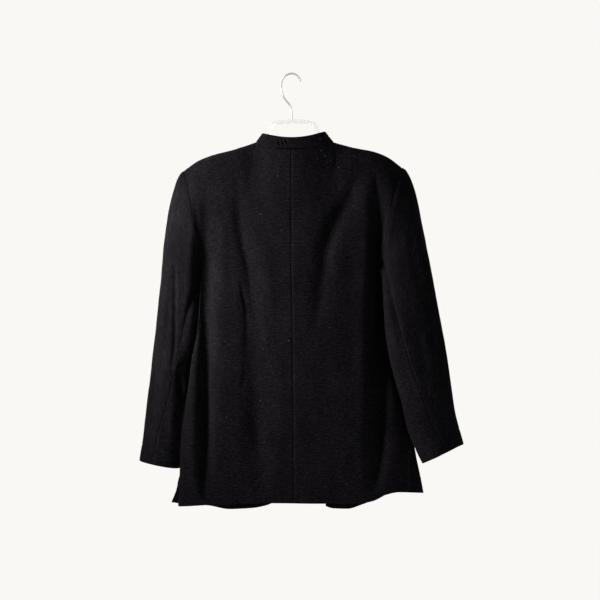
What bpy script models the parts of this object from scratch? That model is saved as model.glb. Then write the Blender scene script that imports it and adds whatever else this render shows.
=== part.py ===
"""A black mao jacket that hangs on a clear plastic hanger with a wire hook.

Sizes are in millimetres and the meshes are built in metres. The origin is the inside of the hook's
top, where a nail or a rail holds it. +X is the wearer's left, the back faces +Y and +Z is up.
"""

import math

import bpy
import numpy as np

MM = 0.001

# Driving sizes
CLOTH = 2.0
COLLAR_CLOTH = 2.4
SEAM_GAP = 0.4
UNDERARM_Z = -415.0
VENT_TOP_Z = -778.0
HEM_LEVEL = -915.0
NECK_POINT_Z = -145.2
NECK_BACK_DROP = 19.5
NECK_BACK_DEPTH = 44.0
NECK_FRONT_DROP = 81.2
NECK_FRONT_DEPTH = 42.0
FRONT_LAP = 20.0
LAP_STEP = 1.35
LAP_FADE = 14.0
COLLAR_END = 0.4
COLLAR_GAP = 0.35
BUTTON_RADIUS = 10.5
BUTTON_THICK = 4.0
BUTTON_COUNT = 5
FIRST_BUTTON_Z = -252.0
BUTTON_SPACING = 123.0
BUTTON_GAP = 0.7
BUTTON_CORNERS = 16
# Profile of a button from its underside to its face: share of the radius, share of the thickness
BUTTON_PROFILE = ((0.86, 0.0), (1.0, 0.35), (1.0, 0.75), (0.9, 1.0), (0.72, 0.86))
BAR_RADIUS = 4.0
BAR_END = 0.75
ROD_SIDES = 8
ROOF_SLACK = 1.27
WIRE_RADIUS = 2.1

LEFT, RIGHT = 1, -1
BACK, FRONT = 1, -1

# Half widths of the body from the centre seam, one row a level: z, left, right
BODY_WIDTH = (
    (-415, 197.5, 189.3),
    (-421, 196.0, 190.2),
    (-441, 195.2, 193.2),
    (-484, 197.0, 198.5),
    (-527, 200.0, 200.5),
    (-560, 204.0, 203.0),
    (-612, 215.0, 211.8),
    (-662, 221.5, 225.2),
    (-708, 229.0, 236.3),
    (-752, 235.5, 243.5),
    (-766, 237.0, 246.3),
    (-778, 238.5, 250.5),
    (-800, 240.0, 250.5),
    (-843, 241.5, 248.0),
    (-925, 245.0, 250.0),
)
# Half widths of the front flaps below the vents: z, left, right
FLAP_WIDTH = (
    (-778, 238.5, 250.5),
    (-790, 238.7, 255.5),
    (-802, 239.0, 260.0),
    (-830, 241.0, 265.5),
    (-850, 242.0, 270.0),
    (-873, 248.2, 275.0),
    (-892, 252.0, 278.5),
    (-905, 257.0, 281.0),
    (-920, 263.5, 284.0),
)
# How far the cloth stands out at the centre, and the centre seam's lean: z, back, front, seam x
BODY_DEPTH = (
    (-415, 53.0, 48.0, -0.5),
    (-527, 53.0, 46.0, -2.5),
    (-685, 51.0, 42.0, -4.0),
    (-843, 48.0, 38.0, -5.0),
    (-925, 47.0, 36.0, -5.4),
)
# Depth of the side seam's line, one row a level: z, left, right
SIDE_DEPTH = (
    (-415, 4.0, 2.0),
    (-430, 5.0, 0.8),
    (-450, 9.0, -4.0),
    (-484, 13.0, -12.0),
    (-600, 18.0, -16.0),
    (-778, 17.0, -13.0),
    (-925, 15.0, -8.0),
)
BACK_SQUARENESS = {LEFT: 0.62, RIGHT: 0.85}
FRONT_SQUARENESS = {LEFT: 0.95, RIGHT: 0.62}
VENT_SPREAD = {BACK: 9.0, FRONT: -24.0}

# Hems, one row a point across: x, z
BACK_HEM = (
    (-256, -891), (-207, -893), (-192, -901), (-170, -910), (-140, -914), (-50, -913),
    (30, -912), (110, -914), (180, -917), (242, -922),
)
FRONT_HEM = (
    (-290, -904), (-240, -903), (-200, -911), (-150, -929), (-115, -939), (-84, -938),
    (-66, -933), (-20, -912), (30, -924), (52, -932), (80, -937), (130, -939), (180, -930),
    (225, -927), (262, -919),
)
# Front edges past the centre, where the fronts part below the last button: z, left x, right x
FRONT_EDGE = (
    (-226, -20.0, 20.0),
    (-745, -20.0, 20.0),
    (-790, -16.0, 12.0),
    (-850, 0.0, -16.0),
    (-900, 18.0, -50.0),
    (-925, 29.0, -66.0),
)

# Shoulder lines from the neck point out to the armhole: share of the way, left x, z, right x, z
SHOULDER = (
    (0.00, 75.5, -145.2, -89.5, -145.2),
    (0.30, 120.5, -161.2, -131.0, -157.4),
    (0.62, 171.0, -174.4, -180.0, -167.2),
    (0.80, 199.0, -185.0, -206.0, -177.6),
    (1.00, 230.8, -207.1, -237.2, -200.4),
)
# Armholes as cubic curves from the underarm to the shoulder point. The two inner control points
# are given: side, face, then x, y, z twice
ARMHOLE = {
    (LEFT, BACK): ((195.0, 58.0, -392.0), (209.0, 54.0, -262.0)),
    (LEFT, FRONT): ((195.5, -54.0, -392.0), (200.0, -52.0, -262.0)),
    (RIGHT, BACK): ((-189.0, 60.0, -392.0), (-208.0, 56.0, -262.0)),
    (RIGHT, FRONT): ((-190.0, -52.0, -392.0), (-198.0, -50.0, -262.0)),
}
ARMHOLE_HALF_DEPTH = 43.0
ARMHOLE_HALF_HEIGHT = 104.0
SHOULDER_TILT = 0.8
# Threads of the panels above the underarm: how far the armhole's and the neck's shapes reach, as
# shares across, and the control points of the cubic between them
ARM_REACH = 0.30
NECK_REACH = (0.44, 0.84)
CHEST_SWELL = 0.03
LOW_HANDLE = 0.38
NECK_BLEND = (0.5, 0.58)
SHOULDER_BLEND = 0.98
SHOULDER_DROP = 5.0
NECK_HANDLE = 0.30
HIGH_LEAN = 0.1
# Depth of a trough fades near a side seam: distance out from the side, share across
TROUGH_FADE = (30.0, 0.1)

# Troughs of the back panels: z, x, half width, depth
BACK_TROUGHS = {
    "left side": (
        (-320, 185.0, 12, 0.0), (-390, 183.5, 15, 8.0), (-470, 182.0, 15, 15.0),
        (-600, 182.0, 15, 19.0), (-720, 182.0, 15, 21.0), (-850, 183.0, 13, 14.0),
        (-905, 184.0, 10, 5.0),
    ),
    "right side": (
        (-215, -179.0, 8, 0.0), (-270, -181.0, 10, 4.5), (-340, -184.0, 13, 11.0),
        (-430, -188.0, 17, 20.0), (-600, -190.0, 20, 24.0), (-780, -184.0, 19, 22.0),
        (-850, -179.0, 15, 12.0), (-895, -176.0, 11, 0.0),
    ),
    "left long": (
        (-205, 117.0, 14, 0.0), (-280, 111.0, 15, 4.0), (-344, 106.0, 16, 5.0),
        (-409, 92.0, 19, 6.5), (-473, 84.0, 22, 7.5), (-570, 80.5, 24, 8.0),
        (-666, 78.0, 27, 9.0), (-731, 74.0, 28, 10.0), (-795, 70.0, 28, 9.5),
        (-860, 66.0, 24, 5.0), (-900, 64.0, 18, 0.0),
    ),
    "right slant": (
        (-200, -148.0, 20, 1.0), (-240, -136.0, 20, 4.0), (-280, -117.0, 20, 6.0),
        (-312, -95.0, 19, 7.0), (-344, -82.0, 18, 7.0), (-377, -72.0, 18, 6.5),
        (-441, -64.5, 18, 5.0), (-505, -57.0, 17, 3.5), (-590, -44.0, 15, 0.0),
    ),
}
# Troughs of the fronts, which mirror the same drape: z, x, half width, depth
FRONT_TROUGHS = {
    "left side": (
        (-430, 165.0, 12, 0.0), (-560, 168.0, 13, 8.0), (-760, 172.0, 14, 12.0),
        (-890, 172.0, 12, 4.0),
    ),
    "right side": (
        (-400, -160.0, 12, 0.0), (-540, -164.0, 14, 9.0), (-740, -170.0, 15, 13.0),
        (-880, -172.0, 12, 4.0),
    ),
    "left chest": ((-300, 120.0, 18, 0.0), (-420, 100.0, 18, 5.0), (-560, 84.0, 16, 0.0)),
    "right chest": ((-290, -124.0, 18, 0.0), (-410, -106.0, 18, 5.5), (-590, -90.0, 16, 0.0)),
}

# Sleeves, one row a ring from the armhole down: outer x, z, inner x, z, middle y, half depth.
# The rings fan round the underarm first and then hang level
SLEEVE_RINGS = {
    LEFT: (
        (230.8, -207.1, 197.0, -415.0, 0.0, 43.0),
        (243.8, -224.0, 198.4, -415.2, -0.5, 43.4),
        (251.8, -248.0, 199.2, -415.8, -1.5, 43.8),
        (260.8, -282.0, 198.6, -417.0, -3.0, 44.0),
        (267.8, -320.0, 198.7, -418.0, -5.0, 43.5),
        (274.0, -368.0, 198.4, -419.6, -7.5, 42.5),
        (278.6, -421.0, 197.5, -421.2, -10.0, 41.0),
        (282.8, -460.0, 196.5, -462.0, -13.5, 40.0),
        (287.6, -505.0, 196.5, -508.0, -16.0, 39.5),
        (293.0, -555.0, 201.5, -558.0, -17.5, 39.0),
        (299.5, -605.0, 211.0, -608.0, -18.0, 38.0),
        (304.5, -650.0, 218.5, -653.0, -17.0, 37.0),
        (309.5, -695.0, 226.5, -700.0, -15.5, 36.0),
        (314.5, -740.0, 233.5, -747.0, -13.5, 35.0),
        (319.5, -785.0, 238.5, -794.0, -11.5, 34.5),
        (326.0, -829.0, 241.0, -845.0, -10.0, 34.0),
    ),
    RIGHT: (
        (-237.2, -200.4, -190.0, -415.0, 0.0, 43.0),
        (-250.2, -213.5, -191.4, -415.2, 1.0, 43.5),
        (-261.2, -240.0, -192.6, -415.8, 2.5, 43.8),
        (-271.4, -282.0, -193.1, -416.8, 4.5, 43.3),
        (-279.0, -322.0, -192.6, -418.2, 7.0, 42.0),
        (-288.5, -370.0, -192.3, -419.6, 9.5, 40.0),
        (-298.0, -421.0, -191.6, -421.0, 12.3, 38.0),
        (-304.5, -460.0, -196.5, -462.0, 16.0, 37.0),
        (-312.5, -505.0, -199.0, -508.0, 18.5, 36.5),
        (-321.8, -555.0, -203.0, -560.0, 19.0, 36.5),
        (-330.3, -605.0, -212.0, -612.0, 18.0, 37.0),
        (-337.0, -650.0, -226.5, -662.0, 16.5, 36.5),
        (-343.6, -692.0, -238.5, -708.0, 14.5, 35.5),
        (-350.4, -729.0, -246.5, -752.0, 12.0, 34.0),
        (-358.4, -762.0, -262.0, -793.0, 8.0, 33.5),
        (-368.0, -793.0, -281.5, -834.0, 4.0, 33.0),
    ),
}
FAN_RINGS = 6
CUFF_LEAN = {LEFT: 0.0, RIGHT: 5.0}
LEAN_SHARE = 0.2
SLEEVE_SQUARENESS = 0.9
# Back and front seams of the sleeves, as angles from the outer edge: ring share, back, front
SLEEVE_SEAMS = {
    LEFT: ((0.0, 158.0, 205.0), (0.40, 150.0, 222.0), (0.55, 112.0, 228.0),
           (0.80, 95.0, 228.0), (1.0, 70.0, 226.0)),
    RIGHT: ((0.0, 158.0, 205.0), (0.40, 146.0, 222.0), (0.60, 118.0, 228.0),
            (0.80, 100.0, 228.0), (1.0, 82.0, 226.0)),
}
# Troughs of the sleeves: centre and half length as z, angle, its half width, depth
SLEEVE_TROUGHS = {
    LEFT: ((-640, 200, 50, 28, 10.0), (-560, 130, 68, 10, 2.5), (-600, 170, 118, 17, -3.0),
           (-655, 32, 128, 22, 9.0), (-640, 90, 300, 20, 5.0)),
    RIGHT: ((-640, 230, 50, 30, 11.0), (-600, 200, 114, 14, -3.0), (-620, 110, 290, 20, 1.5)),
}

# Collar's top edge at the sides, back and front: x left, z left, x right, z right
COLLAR_TOP_SIDES = (61.5, -127.0, -71.5, -123.0)
COLLAR_TOP_BACK = (36.5, -139.5)
COLLAR_TOP_FRONT = (-38.0, -200.0)
COLLAR_DROP = {BACK: 2.0, FRONT: 1.5}
COLLAR_ROWS = (0.0, 0.33, 0.67, 1.0)

# Columns from the side seam to the centre. The neck point lies at NECK_SHARE, and the centre
# front at CENTRE_SHARE with the lap past it
NECK_SHARE = 0.62
CENTRE_SHARE = 0.94
SHOULDER_COLUMNS = (0.0, 0.05, 0.11, 0.18, 0.25, 0.31, 0.36, 0.41, 0.46, 0.53, 0.62)
BACK_COLUMNS = SHOULDER_COLUMNS + (0.70, 0.78, 0.86, 0.93, 1.0)
FRONT_COLUMNS = SHOULDER_COLUMNS + (0.69, 0.76, 0.82, 0.88, 0.94, 1.0)
# Rows as shares of the way, from the hem to the vent, on to the underarm and up to the top
HEM_ROWS = (0.0, 0.25, 0.6, 0.84, 1.0)
SIDE_ROWS = (0.1, 0.2, 0.3, 0.4, 0.5, 0.6, 0.7, 0.8, 0.9, 0.965, 1.0)
TOP_ROWS = (0.05, 0.11, 0.18, 0.27, 0.38, 0.5, 0.63, 0.76, 0.87, 0.95, 1.0)
SLEEVE_SPLIT_ROW = 3

# Hanger's bar from the left arm's end to the right's, and the hook's wire from its foot to its
# tip, both in the plane of the hook: x, z
BAR_NECK = (
    (78.0, -156.0), (66.0, -153.6), (56.0, -147.0), (50.0, -136.0), (47.2, -119.0), (43.0, -108.5),
    (35.0, -103.8), (18.0, -101.6), (0.0, -100.6), (-18.0, -100.6), (-36.0, -101.8),
    (-47.0, -105.4), (-53.0, -113.5), (-56.5, -124.0), (-60.5, -137.0), (-69.0, -149.0),
    (-82.0, -155.0), (-96.0, -157.5),
)
ARM_SHARES = (0.86, 0.72, 0.58, 0.44, 0.30, 0.16)
WIRE = (
    (-0.9, -96.2), (-0.3, -82.0), (1.1, -71.0), (5.8, -62.6), (12.6, -54.6), (18.6, -44.0),
    (21.9, -31.0), (21.8, -18.5), (18.2, -8.6), (11.8, -1.6), (3.6, 1.9), (-4.8, 1.9),
    (-12.2, -2.0), (-17.0, -8.6), (-18.8, -13.2),
)


def follow(rows, column, at):
    """Smooth curve through one column of a table, which never overshoots between its rows."""
    table = np.array(sorted(rows), float)
    xs, ys = table[:, 0], table[:, column]
    steps, rises = np.diff(xs), np.diff(ys)
    slopes = rises / steps
    before, after = slopes[:-1], slopes[1:]
    same_way = before * after > 0
    inner = np.where(same_way, 2 * before * after / np.where(same_way, before + after, 1.0), 0.0)
    tangents = np.concatenate([slopes[:1], inner, slopes[-1:]])
    at = np.clip(at, xs[0], xs[-1])
    index = np.clip(np.searchsorted(xs, at) - 1, 0, len(steps) - 1)
    step = steps[index]
    t = (at - xs[index]) / step
    start, end = ys[index], ys[index + 1]
    rise = t * t * (3 - 2 * t)
    bend = t * (1 - t) * step
    return start + (end - start) * rise + bend * ((1 - t) * tangents[index] - t * tangents[index + 1])


def unit(vectors):
    """Vectors at length 1."""
    return vectors / np.maximum(np.linalg.norm(vectors, axis=-1, keepdims=True), 1e-9)


def side_column(side):
    """Column of a width table for this side."""
    return 1 if side == LEFT else 2


def trough_depth(troughs, x, z):
    """How deep the troughs of a panel are at these places."""
    depth = np.zeros_like(x)
    for rows in troughs.values():
        middle = follow(rows, 1, z)
        half = follow(rows, 2, z)
        deep = follow(rows, 3, z)
        inside = (z >= min(row[0] for row in rows)) & (z <= max(row[0] for row in rows))
        depth += np.where(inside, deep, 0.0) * np.exp(-(((x - middle) / half) ** 2))
    return depth


def body_ring(side, face, angle, z, flap=0.0):
    """Point of the body's section at a level. The angle runs from 0 at the centre to 90 degrees."""
    column = side_column(side)
    width = follow(BODY_WIDTH, column, z)
    if face == FRONT:
        width = np.where(z < VENT_TOP_Z, follow(FLAP_WIDTH, column, z), width)
    depth = follow(BODY_DEPTH, 1 if face == BACK else 2, z)
    seam_y = follow(SIDE_DEPTH, column, z) + VENT_SPREAD[face] * flap
    power = (BACK_SQUARENESS if face == BACK else FRONT_SQUARENESS)[side]
    x = follow(BODY_DEPTH, 3, z) + side * width * np.sin(angle)
    out = np.maximum(np.cos(angle), 0.0) ** power
    return x, seam_y + (face * depth - seam_y) * out


def lap_shift(side, x):
    """Lifts the left front off the right one where they lap."""
    return -side * LAP_STEP / (1 + np.exp((side * x - FRONT_LAP - LAP_FADE) / (LAP_FADE / 4)))


def neck_line(side, face, turn):
    """Neck seam from the neck point, at turn 0, to the centre, at turn 1."""
    angle = turn * math.pi / 2
    start = SHOULDER[0][1] if side == LEFT else SHOULDER[0][3]
    x = start * np.cos(angle)
    if face == BACK:
        return x, NECK_BACK_DEPTH * np.sin(angle), NECK_POINT_Z - NECK_BACK_DROP * np.sin(angle)
    y = -NECK_FRONT_DEPTH * np.sin(angle) + lap_shift(side, x) * np.sin(angle)
    return x, y, NECK_POINT_Z - NECK_FRONT_DROP * np.sin(angle)


def lap_turn(side):
    """How far past the centre front the neck seam runs, as a share of a quarter turn."""
    start = SHOULDER[0][1] if side == LEFT else SHOULDER[0][3]
    return math.asin(FRONT_LAP / abs(start)) / (math.pi / 2)


def top_edge(side, face, share):
    """Shoulder and neck seams along a panel's top, from the armhole to the centre."""
    out = np.clip(1 - share / NECK_SHARE, 0, 1)
    columns = (1, 2) if side == LEFT else (3, 4)
    shoulder = follow(SHOULDER, columns[0], out), np.zeros_like(out), follow(SHOULDER, columns[1], out)
    centre = 1.0 if face == BACK else CENTRE_SHARE
    turn = np.clip((share - NECK_SHARE) / (centre - NECK_SHARE), 0, 1)
    if face == FRONT:
        turn = turn + np.clip((share - centre) / (1 - centre), 0, 1) * lap_turn(side)
    neck = neck_line(side, face, turn)
    return tuple(np.where(share > NECK_SHARE, n, s) for n, s in zip(neck, shoulder))


def arm_curve(side, face, rise):
    """Armhole from the underarm, at rise 0, to the shoulder point, at rise 1."""
    columns = (1, 2) if side == LEFT else (3, 4)
    foot_y = follow(SIDE_DEPTH, side_column(side), UNDERARM_Z)
    foot = np.array([SLEEVE_RINGS[side][0][2], foot_y, UNDERARM_Z])
    head = np.array([SHOULDER[-1][columns[0]], 0.0, SHOULDER[-1][columns[1]]])
    low, high = (np.array(point) for point in ARMHOLE[(side, face)])
    t = np.asarray(rise, float)[..., None]
    return foot * (1 - t) ** 3 + 3 * low * t * (1 - t) ** 2 + 3 * high * t * t * (1 - t) + head * t ** 3


def upper_panel(side, face, share, rise, low_x, low_y):
    """Panel above the underarm: each upright thread is a cubic curve up to the top edge."""
    top = np.stack(top_edge(side, face, share), -1)
    foot = np.stack([low_x, low_y, np.full_like(low_x, UNDERARM_Z)], -1)
    low_arm, high_arm = (np.array(point) for point in ARMHOLE[(side, face)])
    near_arm = np.clip(1 - share / ARM_REACH, 0, 1)[..., None] ** 2
    at_neck = np.clip((share - NECK_REACH[0]) / (NECK_REACH[1] - NECK_REACH[0]), 0, 1)[..., None]
    at_neck = at_neck * at_neck * (3 - 2 * at_neck)
    full = face * follow(BODY_DEPTH, 1 if face == BACK else 2, UNDERARM_Z)
    tall = top[..., 2:] - UNDERARM_Z
    low = foot + np.concatenate([0 * tall, CHEST_SWELL * full + 0 * tall, LOW_HANDLE * tall], -1)
    neck_y = NECK_BLEND[0] * full + NECK_BLEND[1] * top[..., 1:2]
    high_y = full * SHOULDER_BLEND * (1 - at_neck) + neck_y * at_neck
    high_z = top[..., 2:] - SHOULDER_DROP * (1 - at_neck) - NECK_HANDLE * tall * at_neck
    high_x = top[..., :1] + (foot[..., :1] - top[..., :1]) * HIGH_LEAN
    high = np.concatenate([high_x, high_y, high_z], -1)
    low = low * (1 - near_arm) + low_arm * near_arm
    high = high * (1 - near_arm) + high_arm * near_arm
    t = rise[..., None]
    curve = foot * (1 - t) ** 3 + 3 * low * t * (1 - t) ** 2 + 3 * high * t * t * (1 - t) + top * t ** 3
    on_arm = (share == 0)[..., None]
    return np.where(on_arm, arm_curve(side, face, rise), curve)


def column_angle(side, face, share, z):
    """Angle of a panel's columns in the section: the fronts' last column is their edge."""
    if face == BACK:
        return (1 - share) * math.pi / 2
    edge = follow(FRONT_EDGE, side_column(side), z) - follow(BODY_DEPTH, 3, z)
    width = follow(BODY_WIDTH, side_column(side), z)
    return math.pi / 2 + (np.arcsin(side * edge / width) - math.pi / 2) * share


def body_panel(side, face, columns):
    """Middle surface of a panel, rows from the hem to the top and columns from the side inwards."""
    share = np.array(columns)[None, :]
    hem_rows = np.array(HEM_ROWS)[:, None]
    low = np.full_like(share, HEM_LEVEL)
    flat_x, _ = body_ring(side, face, column_angle(side, face, share, low), low)
    hem_z = follow(BACK_HEM if face == BACK else FRONT_HEM, 1, flat_x)
    low_z = hem_z + (VENT_TOP_Z - hem_z) * hem_rows
    side_z = np.array(VENT_TOP_Z) + (UNDERARM_Z - VENT_TOP_Z) * np.array(SIDE_ROWS)[:, None] + 0 * share
    z = np.concatenate([low_z, side_z])
    share = share + 0 * z
    flap = np.clip((VENT_TOP_Z - z) / (VENT_TOP_Z - HEM_LEVEL), 0, 1)
    x, y = body_ring(side, face, column_angle(side, face, share, z), z, flap)
    rise = np.array(TOP_ROWS)[:, None] + 0 * share[:1]
    upper = upper_panel(side, face, share[:1] + 0 * rise, rise, x[-1:] + 0 * rise, y[-1:] + 0 * rise)
    points = np.concatenate([np.stack([x, y, z], -1), upper])
    troughs = BACK_TROUGHS if face == BACK else FRONT_TROUGHS
    fade = np.clip(points[..., 1] * face / TROUGH_FADE[0], 0, 1)
    fade *= np.clip(np.array(columns)[None, :] / TROUGH_FADE[1], 0, 1)
    fade[-1] = 0
    fade[:, 0] = 0
    points[..., 1] -= face * fade * trough_depth(troughs, points[..., 0], points[..., 2])
    if face == FRONT:
        points[:-1, :, 1] += lap_shift(side, points[:-1, :, 0])
    return points


def arm_normal(side, points):
    """Direction across the wall at the armhole, which the body and the sleeve share."""
    centre_z = UNDERARM_Z + ARMHOLE_HALF_HEIGHT
    y = points[..., 1] / ARMHOLE_HALF_DEPTH ** 2
    z = (points[..., 2] - centre_z) / ARMHOLE_HALF_HEIGHT ** 2
    flat = unit(np.stack([0 * y, y, z], -1))
    flat[..., 0] = side * SHOULDER_TILT * np.clip(flat[..., 2], 0, 1)
    return unit(flat)


def neck_turns(face):
    """Places of a panel's columns along the neck seam, from the neck point to the centre."""
    centre = 1.0 if face == BACK else CENTRE_SHARE
    columns = BACK_COLUMNS if face == BACK else FRONT_COLUMNS
    return [(c - NECK_SHARE) / (centre - NECK_SHARE) for c in columns if NECK_SHARE <= c <= centre]


def neck_ways(panels, collar_turns, collar_normals):
    """Direction across the wall at each place of the neck seam, which the panels and collar share."""
    sums = {}
    for (side, face), (_, normals) in panels.items():
        first = (BACK_COLUMNS if face == BACK else FRONT_COLUMNS).index(NECK_SHARE)
        for index, turn in enumerate(neck_turns(face)):
            sums[(side, face, turn)] = normals[-1, first + index]
    for key, normal in zip(collar_turns, collar_normals[0]):
        sums[key] = sums[key] + normal
    for side in (LEFT, RIGHT):
        point = sums[(side, BACK, 0.0)] + sums[(side, FRONT, 0.0)]
        sums[(side, BACK, 0.0)] = sums[(side, FRONT, 0.0)] = point
    for face in (BACK, FRONT):
        middle = sums[(LEFT, face, 1.0)] + sums[(RIGHT, face, 1.0)]
        sums[(LEFT, face, 1.0)] = sums[(RIGHT, face, 1.0)] = middle
    return {key: unit(way) for key, way in sums.items()}


def grid_normals(points):
    """Normals of a grid of points from its two directions."""
    along = np.gradient(points, axis=0)
    across = np.gradient(points, axis=1)
    return unit(np.cross(along, across))


def shrink_edges(points, gap):
    """Draws each edge of a grid back by half a seam's gap."""
    moved = points.copy()
    moved[0] += unit(points[1] - points[0]) * gap
    moved[-1] += unit(points[-2] - points[-1]) * gap
    moved[:, 0] += unit(points[:, 1] - points[:, 0]) * gap
    moved[:, -1] += unit(points[:, -2] - points[:, -1]) * gap
    return moved


def wall(name, points, normals, thick, material):
    """Closed wall round a grid of middle points."""
    outer = points + normals * thick / 2
    inner = points - normals * thick / 2
    rows, columns = points.shape[:2]
    count = rows * columns
    vertices = np.concatenate([outer.reshape(-1, 3), inner.reshape(-1, 3)]) * MM
    faces = []
    for row in range(rows - 1):
        for column in range(columns - 1):
            a = row * columns + column
            b, c, d = a + 1, a + columns + 1, a + columns
            faces.append((a, d, c, b))
            faces.append((a + count, b + count, c + count, d + count))
    border = [(0, column) for column in range(columns)]
    border += [(row, columns - 1) for row in range(1, rows)]
    border += [(rows - 1, column) for column in range(columns - 2, -1, -1)]
    border += [(row, 0) for row in range(rows - 2, 0, -1)]
    ring = [row * columns + column for row, column in border]
    for a, b in zip(ring, ring[1:] + ring[:1]):
        faces.append((a, b, b + count, a + count))
    return add_mesh(name, vertices, faces, material)


def add_mesh(name, vertices, faces, material):
    """Adds a smooth-shaded object with its material."""
    mesh = bpy.data.meshes.new(name)
    mesh.from_pydata([tuple(map(float, vertex)) for vertex in vertices], [], faces)
    mesh.validate()
    mesh.shade_smooth()
    mesh.set_sharp_from_angle(angle=math.radians(50))
    mesh.materials.append(material)
    thing = bpy.data.objects.new(name, mesh)
    bpy.context.scene.collection.objects.link(thing)
    return thing


def principled(name, colour, roughness, metallic=0.0, transmission=0.0):
    """Principled material."""
    material = bpy.data.materials.new(name)
    material.use_nodes = True
    shader = material.node_tree.nodes["Principled BSDF"]
    shader.inputs["Base Color"].default_value = (*colour, 1.0)
    shader.inputs["Roughness"].default_value = roughness
    shader.inputs["Metallic"].default_value = metallic
    shader.inputs["Transmission Weight"].default_value = transmission
    return material


def body_grids():
    """Middle surface and normals of each body panel."""
    panels = {}
    for side in (LEFT, RIGHT):
        for face in (BACK, FRONT):
            points = body_panel(side, face, BACK_COLUMNS if face == BACK else FRONT_COLUMNS)
            panels[(side, face)] = (points, -side * face * grid_normals(points))
    return panels


def add_body(panels, ways, cloth):
    """Back and front panels."""
    names = {LEFT: "left", RIGHT: "right"}
    for (side, face), (points, normals) in panels.items():
        set_body_seams(side, face, points, normals, ways)
        drawn = shrink_edges(points, SEAM_GAP / 2)
        order = slice(None) if side * face < 0 else slice(None, None, -1)
        name = f"{'back' if face == BACK else 'front'}_{names[side]}"
        wall(name, drawn[:, order], normals[:, order], CLOTH, cloth)


def set_body_seams(side, face, points, normals, ways):
    """Gives each seam the wall direction that its neighbour has too."""
    start = len(HEM_ROWS)
    arm_row = start + len(SIDE_ROWS) - 1
    normals[start - 1:arm_row, 0] = (side, 0, 0)
    normals[arm_row:, 0] = arm_normal(side, points[arm_row:, 0])
    if face == BACK:
        normals[:, -1, 0] = 0
        normals[:, -1] = unit(normals[:, -1])
    columns = BACK_COLUMNS if face == BACK else FRONT_COLUMNS
    neck = columns.index(NECK_SHARE)
    for index in range(1, neck):
        slope = unit(points[-1, index + 1] - points[-1, index - 1])
        normals[-1, index] = (abs(slope[2]) * side, 0, abs(slope[0]))
    for index, turn in enumerate(neck_turns(face)):
        normals[-1, neck + index] = ways[(side, face, turn)]
    if face == FRONT:
        normals[-1, -1] = normals[-1, -2]


def add_sleeves(cloth):
    """Upper and under halves of both sleeves."""
    for side, side_name in ((LEFT, "left"), (RIGHT, "right")):
        rises = (0.0,) + TOP_ROWS
        split = rises[SLEEVE_SPLIT_ROW]
        upper = [(FRONT, rise) for rise in rises if split <= rise < 1]
        upper += [(BACK, rise) for rise in reversed(rises) if split <= rise]
        under = [(BACK, rise) for rise in reversed(rises) if rise <= split]
        under += [(FRONT, rise) for rise in rises if 0 < rise <= split]
        over = sleeve_points(side, "upper", upper)
        below = sleeve_points(side, "under", under)
        whole = np.concatenate([below[:, -2:-1], over[:, :-1], below, over[:, 1:2]], axis=1)
        normals = grid_normals(whole)[:, 1:-1] * side
        normals[0] = arm_normal(side, whole[0, 1:-1])
        seam = over.shape[1] - 1
        halves = (
            ("upper", over, normals[:, :seam + 1]),
            ("under", below, normals[:, seam:]),
        )
        normals[:, -1] = normals[:, 0]
        for half, points, across in halves:
            points = shrink_edges(points, SEAM_GAP / 2)
            order = slice(None) if side > 0 else slice(None, None, -1)
            wall(f"sleeve_{half}_{side_name}", points[:, order], across[:, order], CLOTH, cloth)


def sleeve_points(side, half, threads):
    """Middle surface of half a sleeve: rows are rings from the armhole to the cuff."""
    rings = np.array(SLEEVE_RINGS[side], float)
    first = np.array([arm_curve(side, face, rise) for face, rise in threads])
    around = thread_shares(threads)
    ends = rings[0]
    axis = np.array([ends[0] - ends[2], ends[1] - ends[3]])
    reach = ((first[:, 0] - ends[2]) * axis[0] + (first[:, 2] - ends[3]) * axis[1]) / (axis @ axis)
    across = np.array([axis[1], -axis[0]]) / np.linalg.norm(axis)
    aside = (first[:, 0] - ends[2]) * across[0] + (first[:, 2] - ends[3]) * across[1]
    rows = []
    for index, ring in enumerate(rings):
        down = index / (len(rings) - 1)
        back_seam = follow(SLEEVE_SEAMS[side], 1, down)
        front_seam = follow(SLEEVE_SEAMS[side], 2, down)
        if half == "upper":
            angle = (front_seam - 360) + (back_seam - front_seam + 360) * around
        else:
            angle = back_seam + (front_seam - back_seam) * around
        fan = min(index / FAN_RINGS, 1.0)
        fan = fan * fan * (3 - 2 * fan)
        turn = np.radians(angle)
        level = (ring[1] + ring[3]) / 2
        dent = sleeve_trough(side, angle, level) * (fan > 0.99)
        oval_reach = 0.5 + 0.5 * rounded(np.cos(turn))
        oval_y = ring[4] + (ring[5] - dent) * rounded(np.sin(turn))
        along = reach + (oval_reach - reach) * fan
        line = np.array([ring[0] - ring[2], ring[1] - ring[3]])
        side_way = np.array([line[1], -line[0]]) / np.linalg.norm(line)
        x = ring[2] + line[0] * along + side_way[0] * aside * (1 - fan)
        z = ring[3] + line[1] * along + side_way[1] * aside * (1 - fan)
        z += CUFF_LEAN[side] * max((down - 1) / LEAN_SHARE + 1, 0) * np.sin(turn)
        y = first[:, 1] + (oval_y - first[:, 1]) * fan
        rows.append(np.stack([x, y, z], -1))
    rows[0] = first
    return np.array(rows)


def rounded(value):
    """Sine or cosine as a sleeve's section has it, a little squarer than an oval."""
    return np.sign(value) * np.abs(value) ** SLEEVE_SQUARENESS


def thread_shares(threads):
    """Share of the way round that each thread of half a sleeve has at the armhole."""
    places = [(1 - rise) * face for face, rise in threads]
    start, end = places[0], places[-1]
    if start > 0 > end:
        places = [place if place > 0 else place + 2 for place in places]
        start, end = places[0], places[-1]
    return np.array([(place - start) / (end - start) for place in places])


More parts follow.
